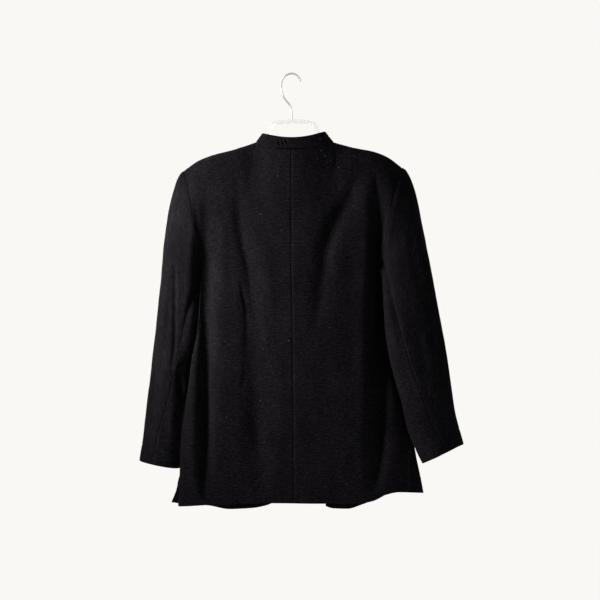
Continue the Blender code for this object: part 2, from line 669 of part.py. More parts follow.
def sleeve_trough(side, angle, level):
    """How deep the troughs of a sleeve are at these angles."""
    depth = np.zeros_like(angle)
    for middle, half, at, wide, deep in SLEEVE_TROUGHS[side]:
        away = (angle - at + 180) % 360 - 180
        depth += deep * np.exp(-(((level - middle) / half) ** 2) - (away / wide) ** 2)
    return depth


def collar_grid():
    """Places along the neck seam, and the collar's middle surface and normals over them."""
    turns = []
    for side, face in ((LEFT, FRONT), (LEFT, BACK), (RIGHT, BACK), (RIGHT, FRONT)):
        inwards = [(side, face, turn) for turn in neck_turns(face)]
        if (side, face) in ((LEFT, FRONT), (RIGHT, BACK)):
            inwards = inwards[::-1]
        turns += inwards
    places = turns[:1] + [this for last, this in zip(turns, turns[1:]) if this[2] != last[2]]
    base, top = [], []
    for side, face, turn in places:
        angle = turn * math.pi / 2
        base.append(neck_line(side, face, np.array(turn)))
        side_x, side_z = COLLAR_TOP_SIDES[:2] if side == LEFT else COLLAR_TOP_SIDES[2:]
        middle_y, middle_z = COLLAR_TOP_BACK if face == BACK else COLLAR_TOP_FRONT
        lap = lap_shift(side, base[-1][0]) * math.sin(angle) if face == FRONT else 0.0
        drop = side_z + (middle_z - side_z) * math.sin(angle) ** COLLAR_DROP[face]
        top.append((side_x * math.cos(angle), middle_y * math.sin(angle) + lap, drop))
    base, top = np.array(base, float), np.array(top, float)
    points = np.array([base + (top - base) * rise for rise in COLLAR_ROWS])
    return places, points, -grid_normals(points)


def add_collar(places, points, normals, ways, cloth):
    """Stand collar along the neck seam."""
    normals[0] = [ways[place] for place in places]
    drawn = shrink_edges(points, COLLAR_GAP)
    drawn[:, 0, 0] = np.maximum(drawn[:, 0, 0], COLLAR_END)
    drawn[:, -1, 0] = np.minimum(drawn[:, -1, 0], -COLLAR_END)
    wall("collar", drawn[:, ::-1], normals[:, ::-1], COLLAR_CLOTH, cloth)


def smooth_path(points, steps):
    """Smooth curve through points, with equal steps between each pair."""
    knots = np.array(points, float)
    padded = np.concatenate([[2 * knots[0] - knots[1]], knots, [2 * knots[-1] - knots[-2]]])
    path = []
    for a, b, c, d in zip(padded, padded[1:], padded[2:], padded[3:]):
        for t in np.arange(steps) / steps:
            bend = (2 * a - 5 * b + 4 * c - d) * t * t + (3 * b - a - 3 * c + d) * t ** 3
            path.append(0.5 * (2 * b + (c - a) * t + bend))
    path.append(knots[-1])
    return np.array(path)


def ring_faces(rings, sides):
    """Faces between the rings of a rod or a turned piece."""
    faces = []
    for ring in range(rings - 1):
        for corner in range(sides):
            a, b = ring * sides + corner, ring * sides + (corner + 1) % sides
            faces.append((a, b, b + sides, a + sides))
    return faces


def rod(name, path, radii, material):
    """Round rod along a path in the plane of the hook."""
    run = unit(np.gradient(path, axis=0))
    vertices = []
    for point, way, radius in zip(path, run, radii):
        for corner in range(ROD_SIDES):
            turn = 2 * math.pi * (corner + 0.5) / ROD_SIDES
            side_way, deep = math.cos(turn) * radius, math.sin(turn) * radius
            vertices.append((point[0] + way[1] * side_way, deep, point[1] - way[0] * side_way))
    last = len(vertices) - ROD_SIDES
    faces = [tuple(range(ROD_SIDES - 1, -1, -1)), tuple(range(last, last + ROD_SIDES))]
    faces += ring_faces(len(path), ROD_SIDES)
    return add_mesh(name, np.array(vertices) * MM, faces, material)


def add_hanger(plastic, steel):
    """Clear plastic bar under the shoulders and the wire hook that stands on it."""
    arms = []
    drop = CLOTH / 2 + SEAM_GAP + BAR_RADIUS
    for columns in ((1, 2), (3, 4)):
        x = follow(SHOULDER, columns[0], np.array(ARM_SHARES))
        z = follow(SHOULDER, columns[1], np.array(ARM_SHARES)) - drop * ROOF_SLACK
        arms.append(list(zip(x, z)))
    knots = arms[0] + list(BAR_NECK) + arms[1][::-1]
    path = smooth_path(knots, 2)
    radii = np.full(len(path), BAR_RADIUS)
    radii[0] = radii[-1] = BAR_RADIUS * BAR_END
    rod("hanger", path, radii, plastic)
    wire = smooth_path(WIRE, 3)
    rod("hook", wire, np.full(len(wire), WIRE_RADIUS), steel)


def add_buttons(panels, horn):
    """Buttons on the left front's outer face, along the centre."""
    points, _ = panels[(LEFT, FRONT)]
    column = points[:, FRONT_COLUMNS.index(CENTRE_SHARE)]
    order = np.argsort(column[:, 2])
    corners = 2 * np.pi * np.arange(BUTTON_CORNERS) / BUTTON_CORNERS
    faces = ring_faces(len(BUTTON_PROFILE), BUTTON_CORNERS)
    last = (len(BUTTON_PROFILE) - 1) * BUTTON_CORNERS
    faces += [tuple(range(BUTTON_CORNERS - 1, -1, -1)), tuple(range(last, last + BUTTON_CORNERS))]
    for index in range(BUTTON_COUNT):
        z = FIRST_BUTTON_Z - BUTTON_SPACING * index
        base = np.interp(z, column[order, 2], column[order, 1]) - CLOTH / 2 - BUTTON_GAP
        rings = []
        for out, lift in BUTTON_PROFILE:
            round_x = out * BUTTON_RADIUS * np.cos(corners)
            round_z = z + out * BUTTON_RADIUS * np.sin(corners)
            rings.append(np.stack([round_x, base - lift * BUTTON_THICK + 0 * corners, round_z], -1))
        add_mesh(f"button_{index + 1}", np.concatenate(rings) * MM, faces, horn)


def main():
    for thing in list(bpy.data.objects):
        bpy.data.objects.remove(thing)
    cloth = principled("black wool", (0.012, 0.011, 0.013), 0.9)
    plastic = principled("clear plastic", (0.86, 0.85, 0.83), 0.2, transmission=0.6)
    steel = principled("hook steel", (0.62, 0.61, 0.60), 0.25, metallic=1.0)
    horn = principled("button black", (0.015, 0.014, 0.014), 0.35)
    panels = body_grids()
    places, points, normals = collar_grid()
    ways = neck_ways(panels, places, normals)
    add_body(panels, ways, cloth)
    add_sleeves(cloth)
    add_collar(places, points, normals, ways, cloth)
    add_buttons(panels, horn)
    add_hanger(plastic, steel)


main()
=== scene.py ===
import math

import bpy
import numpy as np
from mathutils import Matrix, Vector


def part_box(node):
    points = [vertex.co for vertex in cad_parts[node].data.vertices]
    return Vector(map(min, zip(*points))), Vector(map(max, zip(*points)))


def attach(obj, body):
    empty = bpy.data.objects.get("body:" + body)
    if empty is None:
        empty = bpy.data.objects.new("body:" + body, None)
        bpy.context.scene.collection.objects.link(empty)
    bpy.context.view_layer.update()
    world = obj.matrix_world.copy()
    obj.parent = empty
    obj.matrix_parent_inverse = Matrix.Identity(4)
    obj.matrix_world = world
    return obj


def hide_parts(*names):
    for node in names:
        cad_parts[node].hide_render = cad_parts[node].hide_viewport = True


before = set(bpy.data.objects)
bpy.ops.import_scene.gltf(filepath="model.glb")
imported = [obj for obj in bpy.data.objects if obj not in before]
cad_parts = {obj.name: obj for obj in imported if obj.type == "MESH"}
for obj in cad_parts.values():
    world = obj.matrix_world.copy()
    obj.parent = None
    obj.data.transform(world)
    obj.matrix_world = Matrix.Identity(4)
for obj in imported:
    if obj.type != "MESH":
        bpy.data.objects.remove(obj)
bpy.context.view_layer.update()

# Looks of a black mao jacket that hangs on a clear hanger. Sizes are in millimetres, and each mesh
# is built in metres on the CAD's own form, from the same named sizes. +X is the wearer's left, the
# back faces +Y, +Z is up and the origin is the inside of the hook's top.

MM = 0.001

# Driving sizes
CLOTH = 2.0
COLLAR_CLOTH = 2.4
SEAM_GAP = 0.4
UNDERARM_Z = -415.0
VENT_TOP_Z = -778.0
HEM_LEVEL = -915.0
NECK_POINT_Z = -145.2
NECK_BACK_DROP = 19.5
NECK_BACK_DEPTH = 44.0
NECK_FRONT_DROP = 81.2
NECK_FRONT_DEPTH = 42.0
FRONT_LAP = 20.0
LAP_STEP = 1.35
LAP_FADE = 14.0
COLLAR_END = 0.4
BUTTON_RADIUS = 10.5
BUTTON_THICK = 4.0
BUTTON_COUNT = 5
BAR_RADIUS = 4.0
BAR_END = 0.75
ROOF_SLACK = 1.27
WIRE_RADIUS = 2.1

LEFT, RIGHT = 1, -1
BACK, FRONT = 1, -1
SIDE_NAMES = {LEFT: "left", RIGHT: "right"}
FACE_NAMES = {BACK: "back", FRONT: "front"}
# Columns of the tables that hold both sides, both faces, and x and z of both sides
SIDE_COLUMN = {LEFT: 1, RIGHT: 2}
FACE_COLUMN = {BACK: 1, FRONT: 2}
SHOULDER_X_Z = {LEFT: (1, 2), RIGHT: (3, 4)}

# Half widths of the body from the centre seam, one row a level: z, left, right
BODY_WIDTH = (
    (-415, 197.5, 189.3),
    (-421, 196, 190.2),
    (-441, 195.2, 193.2),
    (-484, 197, 198.5),
    (-527, 200, 200.5),
    (-560, 204, 203),
    (-612, 215, 211.8),
    (-662, 221.5, 225.2),
    (-708, 229, 236.3),
    (-752, 235.5, 243.5),
    (-766, 237, 246.3),
    (-778, 238.5, 250.5),
    (-800, 240, 250.5),
    (-843, 241.5, 248),
    (-925, 245, 250),
)
# Half widths of the front flaps below the vents: z, left, right
FLAP_WIDTH = (
    (-778, 238.5, 250.5),
    (-790, 238.7, 255.5),
    (-802, 239, 260),
    (-830, 241, 265.5),
    (-850, 242, 270),
    (-873, 248.2, 275),
    (-892, 252, 278.5),
    (-905, 257, 281),
    (-920, 263.5, 284),
)
# How far the cloth stands out at the centre, and the centre seam's lean: z, back, front, seam x
BODY_DEPTH = (
    (-415, 53, 48, -0.5),
    (-527, 53, 46, -2.5),
    (-685, 51, 42, -4),
    (-843, 48, 38, -5),
    (-925, 47, 36, -5.4),
)
# Depth of the side seam's line, one row a level: z, left, right
SIDE_DEPTH = (
    (-415, 4, 2),
    (-430, 5, 0.8),
    (-450, 9, -4),
    (-484, 13, -12),
    (-600, 18, -16),
    (-778, 17, -13),
    (-925, 15, -8),
)
SQUARENESS = {BACK: {LEFT: 0.62, RIGHT: 0.85}, FRONT: {LEFT: 0.95, RIGHT: 0.62}}
VENT_SPREAD = {BACK: 9, FRONT: -24.0}

# Hems, one row a point across: x, z
HEMS = {
    BACK: ((-256, -891), (-207, -893), (-192, -901), (-170, -910), (-140, -914), (-50, -913),
           (30, -912), (110, -914), (180, -917), (242, -922)),
    FRONT: ((-290, -904), (-240, -903), (-200, -911), (-150, -929), (-115, -939), (-84, -938),
            (-66, -933), (-20, -912), (30, -924), (52, -932), (80, -937), (130, -939),
            (180, -930), (225, -927), (262, -919)),
}
# Front edges past the centre, where the fronts part below the last button: z, left x, right x
FRONT_EDGE = (
    (-226, -20, 20),
    (-745, -20, 20),
    (-790, -16, 12),
    (-850, 0, -16),
    (-900, 18, -50),
    (-925, 29, -66),
)

# Shoulder lines from the neck point out to the armhole: share of the way, left x, z, right x, z
SHOULDER = (
    (0.00, 75.5, -145.2, -89.5, -145.2),
    (0.30, 120.5, -161.2, -131, -157.4),
    (0.62, 171, -174.4, -180, -167.2),
    (0.80, 199, -185, -206, -177.6),
    (1.00, 230.8, -207.1, -237.2, -200.4),
)
# Armholes as cubic curves from the underarm to the shoulder point. The two inner control points
# are given: side, face, then x, y, z twice
ARMHOLE = {
    (LEFT, BACK): ((195, 58, -392), (209, 54, -262)),
    (LEFT, FRONT): ((195.5, -54, -392), (200, -52, -262)),
    (RIGHT, BACK): ((-189, 60, -392), (-208, 56, -262)),
    (RIGHT, FRONT): ((-190, -52, -392), (-198, -50, -262)),
}
ARMHOLE_HALF_DEPTH = 43.0
ARMHOLE_HALF_HEIGHT = 104.0
SHOULDER_TILT = 0.8
# Threads of the panels above the underarm: how far the armhole's and the neck's shapes reach, as
# shares across, and the control points of the cubic between them
ARM_REACH = 0.30
NECK_REACH = (0.44, 0.84)
CHEST_SWELL = 0.03
LOW_HANDLE = 0.38
NECK_BLEND = (0.5, 0.58)
SHOULDER_BLEND = 0.98
SHOULDER_DROP = 5.0
NECK_HANDLE = 0.30
HIGH_LEAN = 0.1
# Depth of a trough fades near a side seam: distance out from the side, share across
TROUGH_FADE = (30, 0.1)

# Troughs of the back panels, and of the fronts, which mirror the same drape: z, x, half width, depth
BACK_TROUGHS = {
    "left side": (
        (-320, 185, 12, 0), (-390, 183.5, 15, 8), (-470, 182, 15, 15),
        (-600, 182, 15, 19), (-720, 182, 15, 21), (-850, 183, 13, 14),
        (-905, 184, 10, 5),
    ),
    "right side": (
        (-215, -179, 8, 0), (-270, -181, 10, 4.5), (-340, -184, 13, 11),
        (-430, -188, 17, 20), (-600, -190, 20, 24), (-780, -184, 19, 22),
        (-850, -179, 15, 12), (-895, -176, 11, 0),
    ),
    "left long": (
        (-205, 117, 14, 0), (-280, 111, 15, 4), (-344, 106, 16, 5),
        (-409, 92, 19, 6.5), (-473, 84, 22, 7.5), (-570, 80.5, 24, 8),
        (-666, 78, 27, 9), (-731, 74, 28, 10), (-795, 70, 28, 9.5),
        (-860, 66, 24, 5), (-900, 64, 18, 0),
    ),
    "right slant": (
        (-200, -148, 20, 1), (-240, -136, 20, 4), (-280, -117, 20, 6),
        (-312, -95, 19, 7), (-344, -82, 18, 7), (-377, -72, 18, 6.5),
        (-441, -64.5, 18, 5), (-505, -57, 17, 3.5), (-590, -44, 15, 0),
    ),
}
FRONT_TROUGHS = {
    "left side": (
        (-430, 165, 12, 0), (-560, 168, 13, 8), (-760, 172, 14, 12),
        (-890, 172, 12, 4),
    ),
    "right side": (
        (-400, -160, 12, 0), (-540, -164, 14, 9), (-740, -170, 15, 13),
        (-880, -172, 12, 4),
    ),
    "left chest": ((-300, 120, 18, 0), (-420, 100, 18, 5), (-560, 84, 16, 0)),
    "right chest": ((-290, -124, 18, 0), (-410, -106, 18, 5.5), (-590, -90, 16, 0)),
}

# Sleeves, one row a ring from the armhole down: outer x, z, inner x, z, middle y, half depth.
# The rings fan round the underarm first and then hang level
SLEEVE_RINGS = {
    LEFT: (
        (230.8, -207.1, 197, -415, 0, 43),
        (243.8, -224, 198.4, -415.2, -0.5, 43.4),
        (251.8, -248, 199.2, -415.8, -1.5, 43.8),
        (260.8, -282, 198.6, -417, -3, 44),
        (267.8, -320, 198.7, -418, -5, 43.5),
        (274, -368, 198.4, -419.6, -7.5, 42.5),
        (278.6, -421, 197.5, -421.2, -10, 41),
        (282.8, -460, 196.5, -462, -13.5, 40),
        (287.6, -505, 196.5, -508, -16, 39.5),
        (293, -555, 201.5, -558, -17.5, 39),
        (299.5, -605, 211, -608, -18, 38),
        (304.5, -650, 218.5, -653, -17, 37),
        (309.5, -695, 226.5, -700, -15.5, 36),
        (314.5, -740, 233.5, -747, -13.5, 35),
        (319.5, -785, 238.5, -794, -11.5, 34.5),
        (326, -829, 241, -845, -10, 34),
    ),
    RIGHT: (
        (-237.2, -200.4, -190, -415, 0, 43),
        (-250.2, -213.5, -191.4, -415.2, 1, 43.5),
        (-261.2, -240, -192.6, -415.8, 2.5, 43.8),
        (-271.4, -282, -193.1, -416.8, 4.5, 43.3),
        (-279, -322, -192.6, -418.2, 7, 42),
        (-288.5, -370, -192.3, -419.6, 9.5, 40),
        (-298, -421, -191.6, -421, 12.3, 38),
        (-304.5, -460, -196.5, -462, 16, 37),
        (-312.5, -505, -199, -508, 18.5, 36.5),
        (-321.8, -555, -203, -560, 19, 36.5),
        (-330.3, -605, -212, -612, 18, 37),
        (-337, -650, -226.5, -662, 16.5, 36.5),
        (-343.6, -692, -238.5, -708, 14.5, 35.5),
        (-350.4, -729, -246.5, -752, 12, 34),
        (-358.4, -762, -262, -793, 8, 33.5),
        (-368, -793, -281.5, -834, 4, 33),
    ),
}
FAN_RINGS = 6
CUFF_LEAN = {LEFT: 0, RIGHT: 5.0}
LEAN_SHARE = 0.2
SLEEVE_SQUARENESS = 0.9
# Back and front seams of the sleeves, as angles from the outer edge: ring share, back, front
SLEEVE_SEAMS = {
    LEFT: ((0, 158, 205), (0.40, 150, 222), (0.55, 112, 228),
           (0.80, 95, 228), (1, 70, 226)),
    RIGHT: ((0, 158, 205), (0.40, 146, 222), (0.60, 118, 228),
            (0.80, 100, 228), (1, 82, 226)),
}
# Troughs of the sleeves: centre and half length as z, angle, its half width, depth
SLEEVE_TROUGHS = {
    LEFT: ((-640, 200, 50, 28, 10), (-560, 130, 68, 10, 2.5), (-600, 170, 118, 17, -3),
           (-655, 32, 128, 22, 9), (-640, 90, 300, 20, 5)),
    RIGHT: ((-640, 230, 50, 30, 11), (-600, 200, 114, 14, -3), (-620, 110, 290, 20, 1.5)),
}

# Collar's top edge at the sides, back and front: x left, z left, x right, z right
COLLAR_TOP_SIDES = (61.5, -127, -71.5, -123)
COLLAR_TOP_BACK = (36.5, -139.5)
COLLAR_TOP_FRONT = (-38, -200)
COLLAR_DROP = {BACK: 2, FRONT: 1.5}

# Shares across a panel from its side seam: the neck point, and the centre front with the lap past it
NECK_SHARE = 0.62
CENTRE_SHARE = 0.94
# How far up the armhole the two halves of a sleeve part, as a share
SLEEVE_SPLIT_RISE = 0.18

# Hanger's bar from the left arm's end to the right's, and the hook's wire from its foot to its
# tip, both in the plane of the hook: x, z
BAR_NECK = (
    (78, -156), (66, -153.6), (56, -147), (50, -136), (47.2, -119), (43, -108.5),
    (35, -103.8), (18, -101.6), (0, -100.6), (-18, -100.6), (-36, -101.8),
    (-47, -105.4), (-53, -113.5), (-56.5, -124), (-60.5, -137), (-69, -149),
    (-82, -155), (-96, -157.5),
)
ARM_SHARES = (0.86, 0.72, 0.58, 0.44, 0.30, 0.16)
WIRE = (
    (-0.9, -96.2), (-0.3, -82), (1.1, -71), (5.8, -62.6), (12.6, -54.6), (18.6, -44),
    (21.9, -31), (21.8, -18.5), (18.2, -8.6), (11.8, -1.6), (3.6, 1.9), (-4.8, 1.9),
    (-12.2, -2), (-17, -8.6), (-18.8, -13.2),
)

NECK_WIDE = 84.0

# Rows of the finer grids from hem to vent, vent to underarm and underarm to top, and their columns
# as share, count of steps, share...
PANEL_STEPS = {BACK: (48, 118, 84), FRONT: (40, 96, 70)}
PANEL_COLUMNS = {BACK: (0.0, 66, NECK_SHARE, 44, 1.0),
                 FRONT: (0.0, 52, NECK_SHARE, 28, CENTRE_SHARE, 10, 1.0)}
# Close rows at a free edge, as shares, and their place at the cuffs and at the collar's top
EDGE_ROWS = np.array([0.0, 0.0022, 0.0055, 0.011])
CUFF_EDGE_START, CUFF_EDGE_SCALE = 0.06, 1.2
COLLAR_EDGE_START, COLLAR_EDGE_SCALE = 0.97, 3
SLEEVE_STEPS = 190
UPPER_COLUMNS, UNDER_COLUMNS = 92, 50
COLLAR_STEPS, COLLAR_ROWS = 100, 26
NOISE_CELLS = 64

# Seams, folded edges and the marks of the turned-in cloth
SEAM_DEPTH = 0.85
SEAM_WIDTH = 1.7
SEAM_TURN = 7.0
# The neck seam is pressed in hardest at the middle of the back: depth, x of the middle, reach
NECK_PRESS, NECK_PRESS_X, NECK_PRESS_REACH = 1.5, 1.0, 30.0
# The centre back seam fades towards the collar: z of its top, way over which it fades, least share
CENTRE_SEAM_FADE = (-160.0, 45.0, 0.25)
# How much of a sleeve's back seam shows, where the folds hide it: z, share
BACK_SEAM_SHOWS = {
    LEFT: ((-415, 0.9), (-520, 0.8), (-560, 0.1), (-650, 0.1), (-680, 1.0), (-845, 1.0)),
    RIGHT: ((-415, 0.4), (-470, 1.0), (-600, 0.9), (-650, 0.5), (-690, 0.0), (-834, 0.0)),
}
PUCKER_LENGTH = 7.0
PUCKER_WIDTH = 6.0
FOLD_ROUND = 1.4
FOLD_EDGE = 0.03
IMPRINT_WIDTH, IMPRINT_WAVE, IMPRINT_SEED = 2.2, 45.0, 3
HEAD_ROLL = 1.3
NECK_RISE = 0.5
# Rumples of the cloth: height, size across, size down, seed
BODY_RUMPLES = ((0.7, 34, 85, 11), (0.7 * 0.45, 13, 30, 14))
SLEEVE_RUMPLES = ((0.7 * 0.9, 24, 55, 31), (0.7 * 0.5, 10, 22, 34))
COLLAR_RUMPLE = (0.4, 26, 18, 41)
# How strongly each kind of seam puckers, and how far from it the folds die away
PUCKER = {"side": 0.10, "armhole": 0.22, "top": 0.16, "centre": 0.10, "sleeve head": 0.3,
          "sleeve": 0.16, "collar": 0.15}
CALM = {"body": 9.0, "front edge": 5.0, "sleeve head": 8.0, "sleeve": 7.0, "collar": 3.0}
# Marks of the turned-in cloth: distance from the edge, depth
HEM_MARK, CUFF_MARK, FRONT_EDGE_MARK = (38.0, 0.4), (36.0, 0.55), (34.0, 0.22)
# Rows over which a seam begins at a vent, an armhole's pucker begins, and the shoulder seam turns
# into the neck seam
VENT_ROWS, ARM_ROWS, NECK_COLUMNS = 4, 6, 6
# How fast folds die away where the cloth turns from its face: steepness, and for the sleeves an offset
BODY_FACING, SLEEVE_FACING, COLLAR_FACING = 2, (2.5, 0.3), 3
SLEEVE_WRAP = 0.6
# Roll of a sleeve's head: distance from the seam, width, and its middle and spread as shares across
HEAD_ROLL_AT, HEAD_ROLL_WIDTH = 9.0, 6.0
HEAD_ROLL_MIDDLE, HEAD_ROLL_SPREAD = 0.5, 0.3
CREASE_STEPS = 6
CREASE_REACH = 3.0

# Creases given one by one, as seen from the back: x, z, half width, height
BACK_CREASES = (
    # left side trough's core, and the small crease at its foot
    ((185, -370, 10, 0), (184, -430, 10, -2.5), (183, -568, 9, -3.5), (183, -695, 9, -4.5),
     (183, -801, 8, -4), (184, -872, 6, 0)),
    ((219, -874, 3, -0.6), (209, -887, 3, -3), (197, -899, 3, -0.5)),
    # ridge beside it
    ((207, -600, 8, 0), (208, -680, 8, 1.6), (208, -800, 9, 2.2), (208, -890, 9, 0.5)),
    # right side trough: thin above, wide below
    ((-179, -222, 3, -0.8), (-182, -305, 4, -2.2), (-187, -385, 6, -3.5), (-192, -512, 8, -5),
     (-190, -696, 8, -5), (-182, -838, 7, -3), (-178, -882, 6, 0)),
    ((-156, -215, 17, 1), (-157, -280, 22, 5.6), (-159, -370, 22, 7.4), (-157, -450, 21, 6.2),
     (-153, -560, 18, 4.2), (-150, -720, 15, 2.4), (-147, -850, 12, 0)),
    # long folds left of the middle
    ((116, -262, 7, 0), (110, -320, 8, -1.6), (102, -372, 7, -2.4), (92, -412, 6, -2.6),
     (86, -462, 6, -1)),
    ((107, -446, 3, -0.5), (101, -478, 3, -2.6), (96, -503, 3.4, -2.6), (94, -540, 5, -2),
     (94, -582, 6, -0.8), (95, -620, 7, 0)),
    ((98, -634, 3.5, -0.4), (101, -655, 3.5, -1.8), (106, -680, 4, -0.3)),
    ((80, -712, 12, -0.8), (72, -765, 13, -2.4), (66, -812, 12, -0.8)),
    ((46, -834, 3.6, -0.5), (68, -858, 3.6, -3), (92, -882, 3.8, -0.5)),
    ((58, -852, 6, 0.4), (78, -876, 5.5, 2), (100, -894, 6, 0.3)),
    # light ridges left of the middle
    ((150, -258, 13, 0.4), (146, -415, 14, 2.4), (146, -568, 14, 2), (149, -722, 14, 1.2),
     (150, -850, 12, 0)),
    ((62, -330, 22, 0.4), (52, -430, 22, 2), (46, -540, 20, 1.6), (42, -640, 18, 0)),
    # broad slant right of the middle
    ((-140, -216, 9, -0.4), (-121, -270, 11, -2), (-96, -316, 11, -2.6), (-78, -366, 11, -2.6),
     (-66, -442, 10, -1.8), (-56, -520, 9, 0)),
    ((-140, -290, 15, 0.2), (-116, -356, 16, 0.8), (-104, -430, 16, 0.9), (-98, -520, 15, 0.4)),
    # cloth left of the side trough, drawn in with it
    ((178, -390, 16, -0.8), (174, -460, 16, -3.2), (173, -560, 16, -2.8), (175, -650, 14, -0.8)),
    # soft fullness beside the neck
    ((76, -150, 8, 1.4), (77, -165, 9, 3.6), (79, -185, 11, 3), (83, -206, 14, 1.4),
     (88, -232, 15, 0)),
    ((-86, -148, 12, 2.4), (-88, -168, 15, 5.4), (-89, -190, 15, 4.2), (-92, -214, 16, 1.8),
     (-96, -240, 16, 0)),
    # back of the left armhole, above the side trough
    ((196, -262, 9, 0.4), (194, -305, 10, 3), (192, -345, 10, 3), (189, -390, 9, 0.4)),
    # faint lines of the shoulder blades, the right hip and the seat
    ((70, -196, 12, -0.3), (40, -214, 10, -0.8), (12, -224, 9, -0.2)),
    ((-60, -600, 14, -0.3), (-78, -660, 15, -1.2), (-86, -730, 15, -0.2)),
    ((-30, -700, 12, 0), (-42, -780, 14, -1.3), (-50, -860, 12, -0.3)),
    ((30, -590, 12, 0), (24, -680, 12, 1.1), (20, -780, 12, 0)),
    ((-120, -760, 12, 0), (-112, -830, 12, 1.4), (-104, -895, 10, 0.4)),
    ((130, -760, 12, 0), (124, -830, 12, -1.2), (118, -890, 10, -0.2)),
    ((-221, -699, 2.2, -0.9), (-233, -700, 2.2, -0.9)),
)
FRONT_CREASES = (
    ((165, -430, 7, 0), (168, -560, 8, -2.2), (172, -760, 8, -3), (172, -890, 7, 0)),
    ((-160, -410, 7, 0), (-164, -540, 8, -2.4), (-170, -740, 8, -3.4), (-172, -880, 7, 0)),
    ((128, -290, 10, 0), (104, -410, 10, -2.6), (84, -540, 9, -0.6)),
    ((-126, -280, 10, 0), (-108, -400, 10, -2.2), (-92, -560, 9, -0.4)),
    ((150, -300, 13, 0.3), (134, -430, 14, 2), (128, -600, 14, 1.4), (130, -760, 12, 0)),
    ((-146, -280, 13, 0.3), (-136, -420, 14, 2.2), (-130, -600, 14, 1), (-132, -740, 12, 0)),
    ((60, -250, 12, 0), (46, -330, 13, -1.5), (34, -400, 12, 0)),
    ((-58, -250, 12, 0), (-48, -340, 13, -1.3), (-40, -420, 12, 0)),
    ((96, -640, 12, -0.2), (80, -740, 13, -2.2), (70, -830, 12, -0.4)),
    ((-96, -620, 12, -0.2), (-84, -720, 13, -1.9), (-70, -840, 12, -0.3)),
    ((44, -500, 14, 0), (50, -600, 15, 1.4), (54, -720, 14, 0.2)),
    ((-40, -520, 14, 0), (-50, -610, 15, 1.6), (-52, -700, 14, 0)),
    ((140, -820, 6, -0.3), (116, -850, 6, -1.4), (96, -872, 6, -0.2)),
)
SLEEVE_BACK_CREASES = {
    LEFT: (
        # bright ridge, the trough outside it and the outer ridge
        ((212, -330, 11, 0.3), (214, -400, 12, 4.8), (214, -500, 12, 7.2), (218, -575, 11, 6.2),
         (226, -622, 7, 0.6)),
        ((246, -400, 4.5, -0.4), (248, -440, 4, -4.4), (249, -520, 4, -5.6), (250, -600, 4.5, -5.2),
         (254, -660, 6, -1.4)),
        ((268, -463, 8, 0.2), (272, -540, 8, 2.2), (276, -640, 8, 1.8), (282, -740, 8, 0.2)),
        ((290, -560, 6, 0), (294, -640, 6, -1.6), (298, -720, 6, -0.2)),
        # hooked pinch at the elbow, and the bulge under it
        ((216, -600, 4, -0.6), (226, -616, 4.5, -4), (240, -628, 5, -5.5), (239, -660, 5.5, -5),
         (235, -704, 5, -1.6)),
        ((232, -634, 5, 0.4), (229, -668, 6, 3.2), (226, -706, 6, 1)),
        ((254, -712, 9, 0.4), (253, -748, 10, 3.6), (250, -772, 8, 1.2)),
        ((256, -765, 12, 0.4), (255, -805, 13, 2.6), (254, -842, 13, 2.6)),
        ((272, -690, 8, -0.4), (270, -735, 9, -2.4), (268, -790, 9, -0.8)),
        # line where the turned-in cuff ends, and small creases
        ((276, -773, 3, -0.6), (262, -775, 3, -2.2), (246, -775, 3, -2.4), (234, -770, 3, -0.6)),
        ((285, -729, 3.5, -0.3), (296, -745, 3.5, -2), (309, -760, 3.5, -0.3)),
        ((296, -690, 6, -0.2), (300, -726, 6, -1.2), (304, -760, 6, -0.2)),
        # sleeve head
        ((224, -229, 2.8, -1.4), (232, -241, 2.8, -2.8), (241, -256, 3.2, -0.4)),
        ((232, -262, 8, -0.3), (240, -290, 9, -1.2), (248, -320, 9, -0.2)),
        ((214, -300, 8, 0.2), (219, -350, 8, -1.4), (222, -400, 8, -0.2)),
        ((252, -300, 9, 0.1), (254, -370, 9, 1.2), (256, -440, 9, 0)),
    ),
    RIGHT: (
        ((-230, -222, 6, -0.5), (-236, -244, 6, -1.8), (-241, -264, 7, -0.4)),
        ((-216, -300, 8, 0.2), (-222, -380, 9, 1.8), (-230, -470, 9, 0.6)),
        ((-246, -290, 9, 0), (-256, -380, 10, -1.8), (-266, -470, 10, -0.4)),
        ((-192, -409, 4, 0), (-192, -419, 4, 3.4), (-193, -434, 4, 0)),
        ((-203, -290, 9, 0.4), (-205, -370, 10, 3.8), (-208, -460, 12, 5.4), (-216, -560, 14, 6),
         (-231, -650, 14, 5.6), (-249, -720, 13, 3.8), (-262, -785, 10, 0.4)),
        ((-262, -520, 9, -0.2), (-276, -600, 10, -2.4), (-290, -690, 10, -0.6)),
        ((-292, -560, 9, 0.1), (-304, -650, 9, 1.8), (-316, -740, 9, 0.3)),
        ((-246, -650, 6, -0.2), (-258, -672, 5, -1.6), (-272, -690, 6, -0.2)),
        ((-300, -770, 6, -0.2), (-318, -778, 6, -1), (-334, -776, 6, -0.2)),
    ),
}
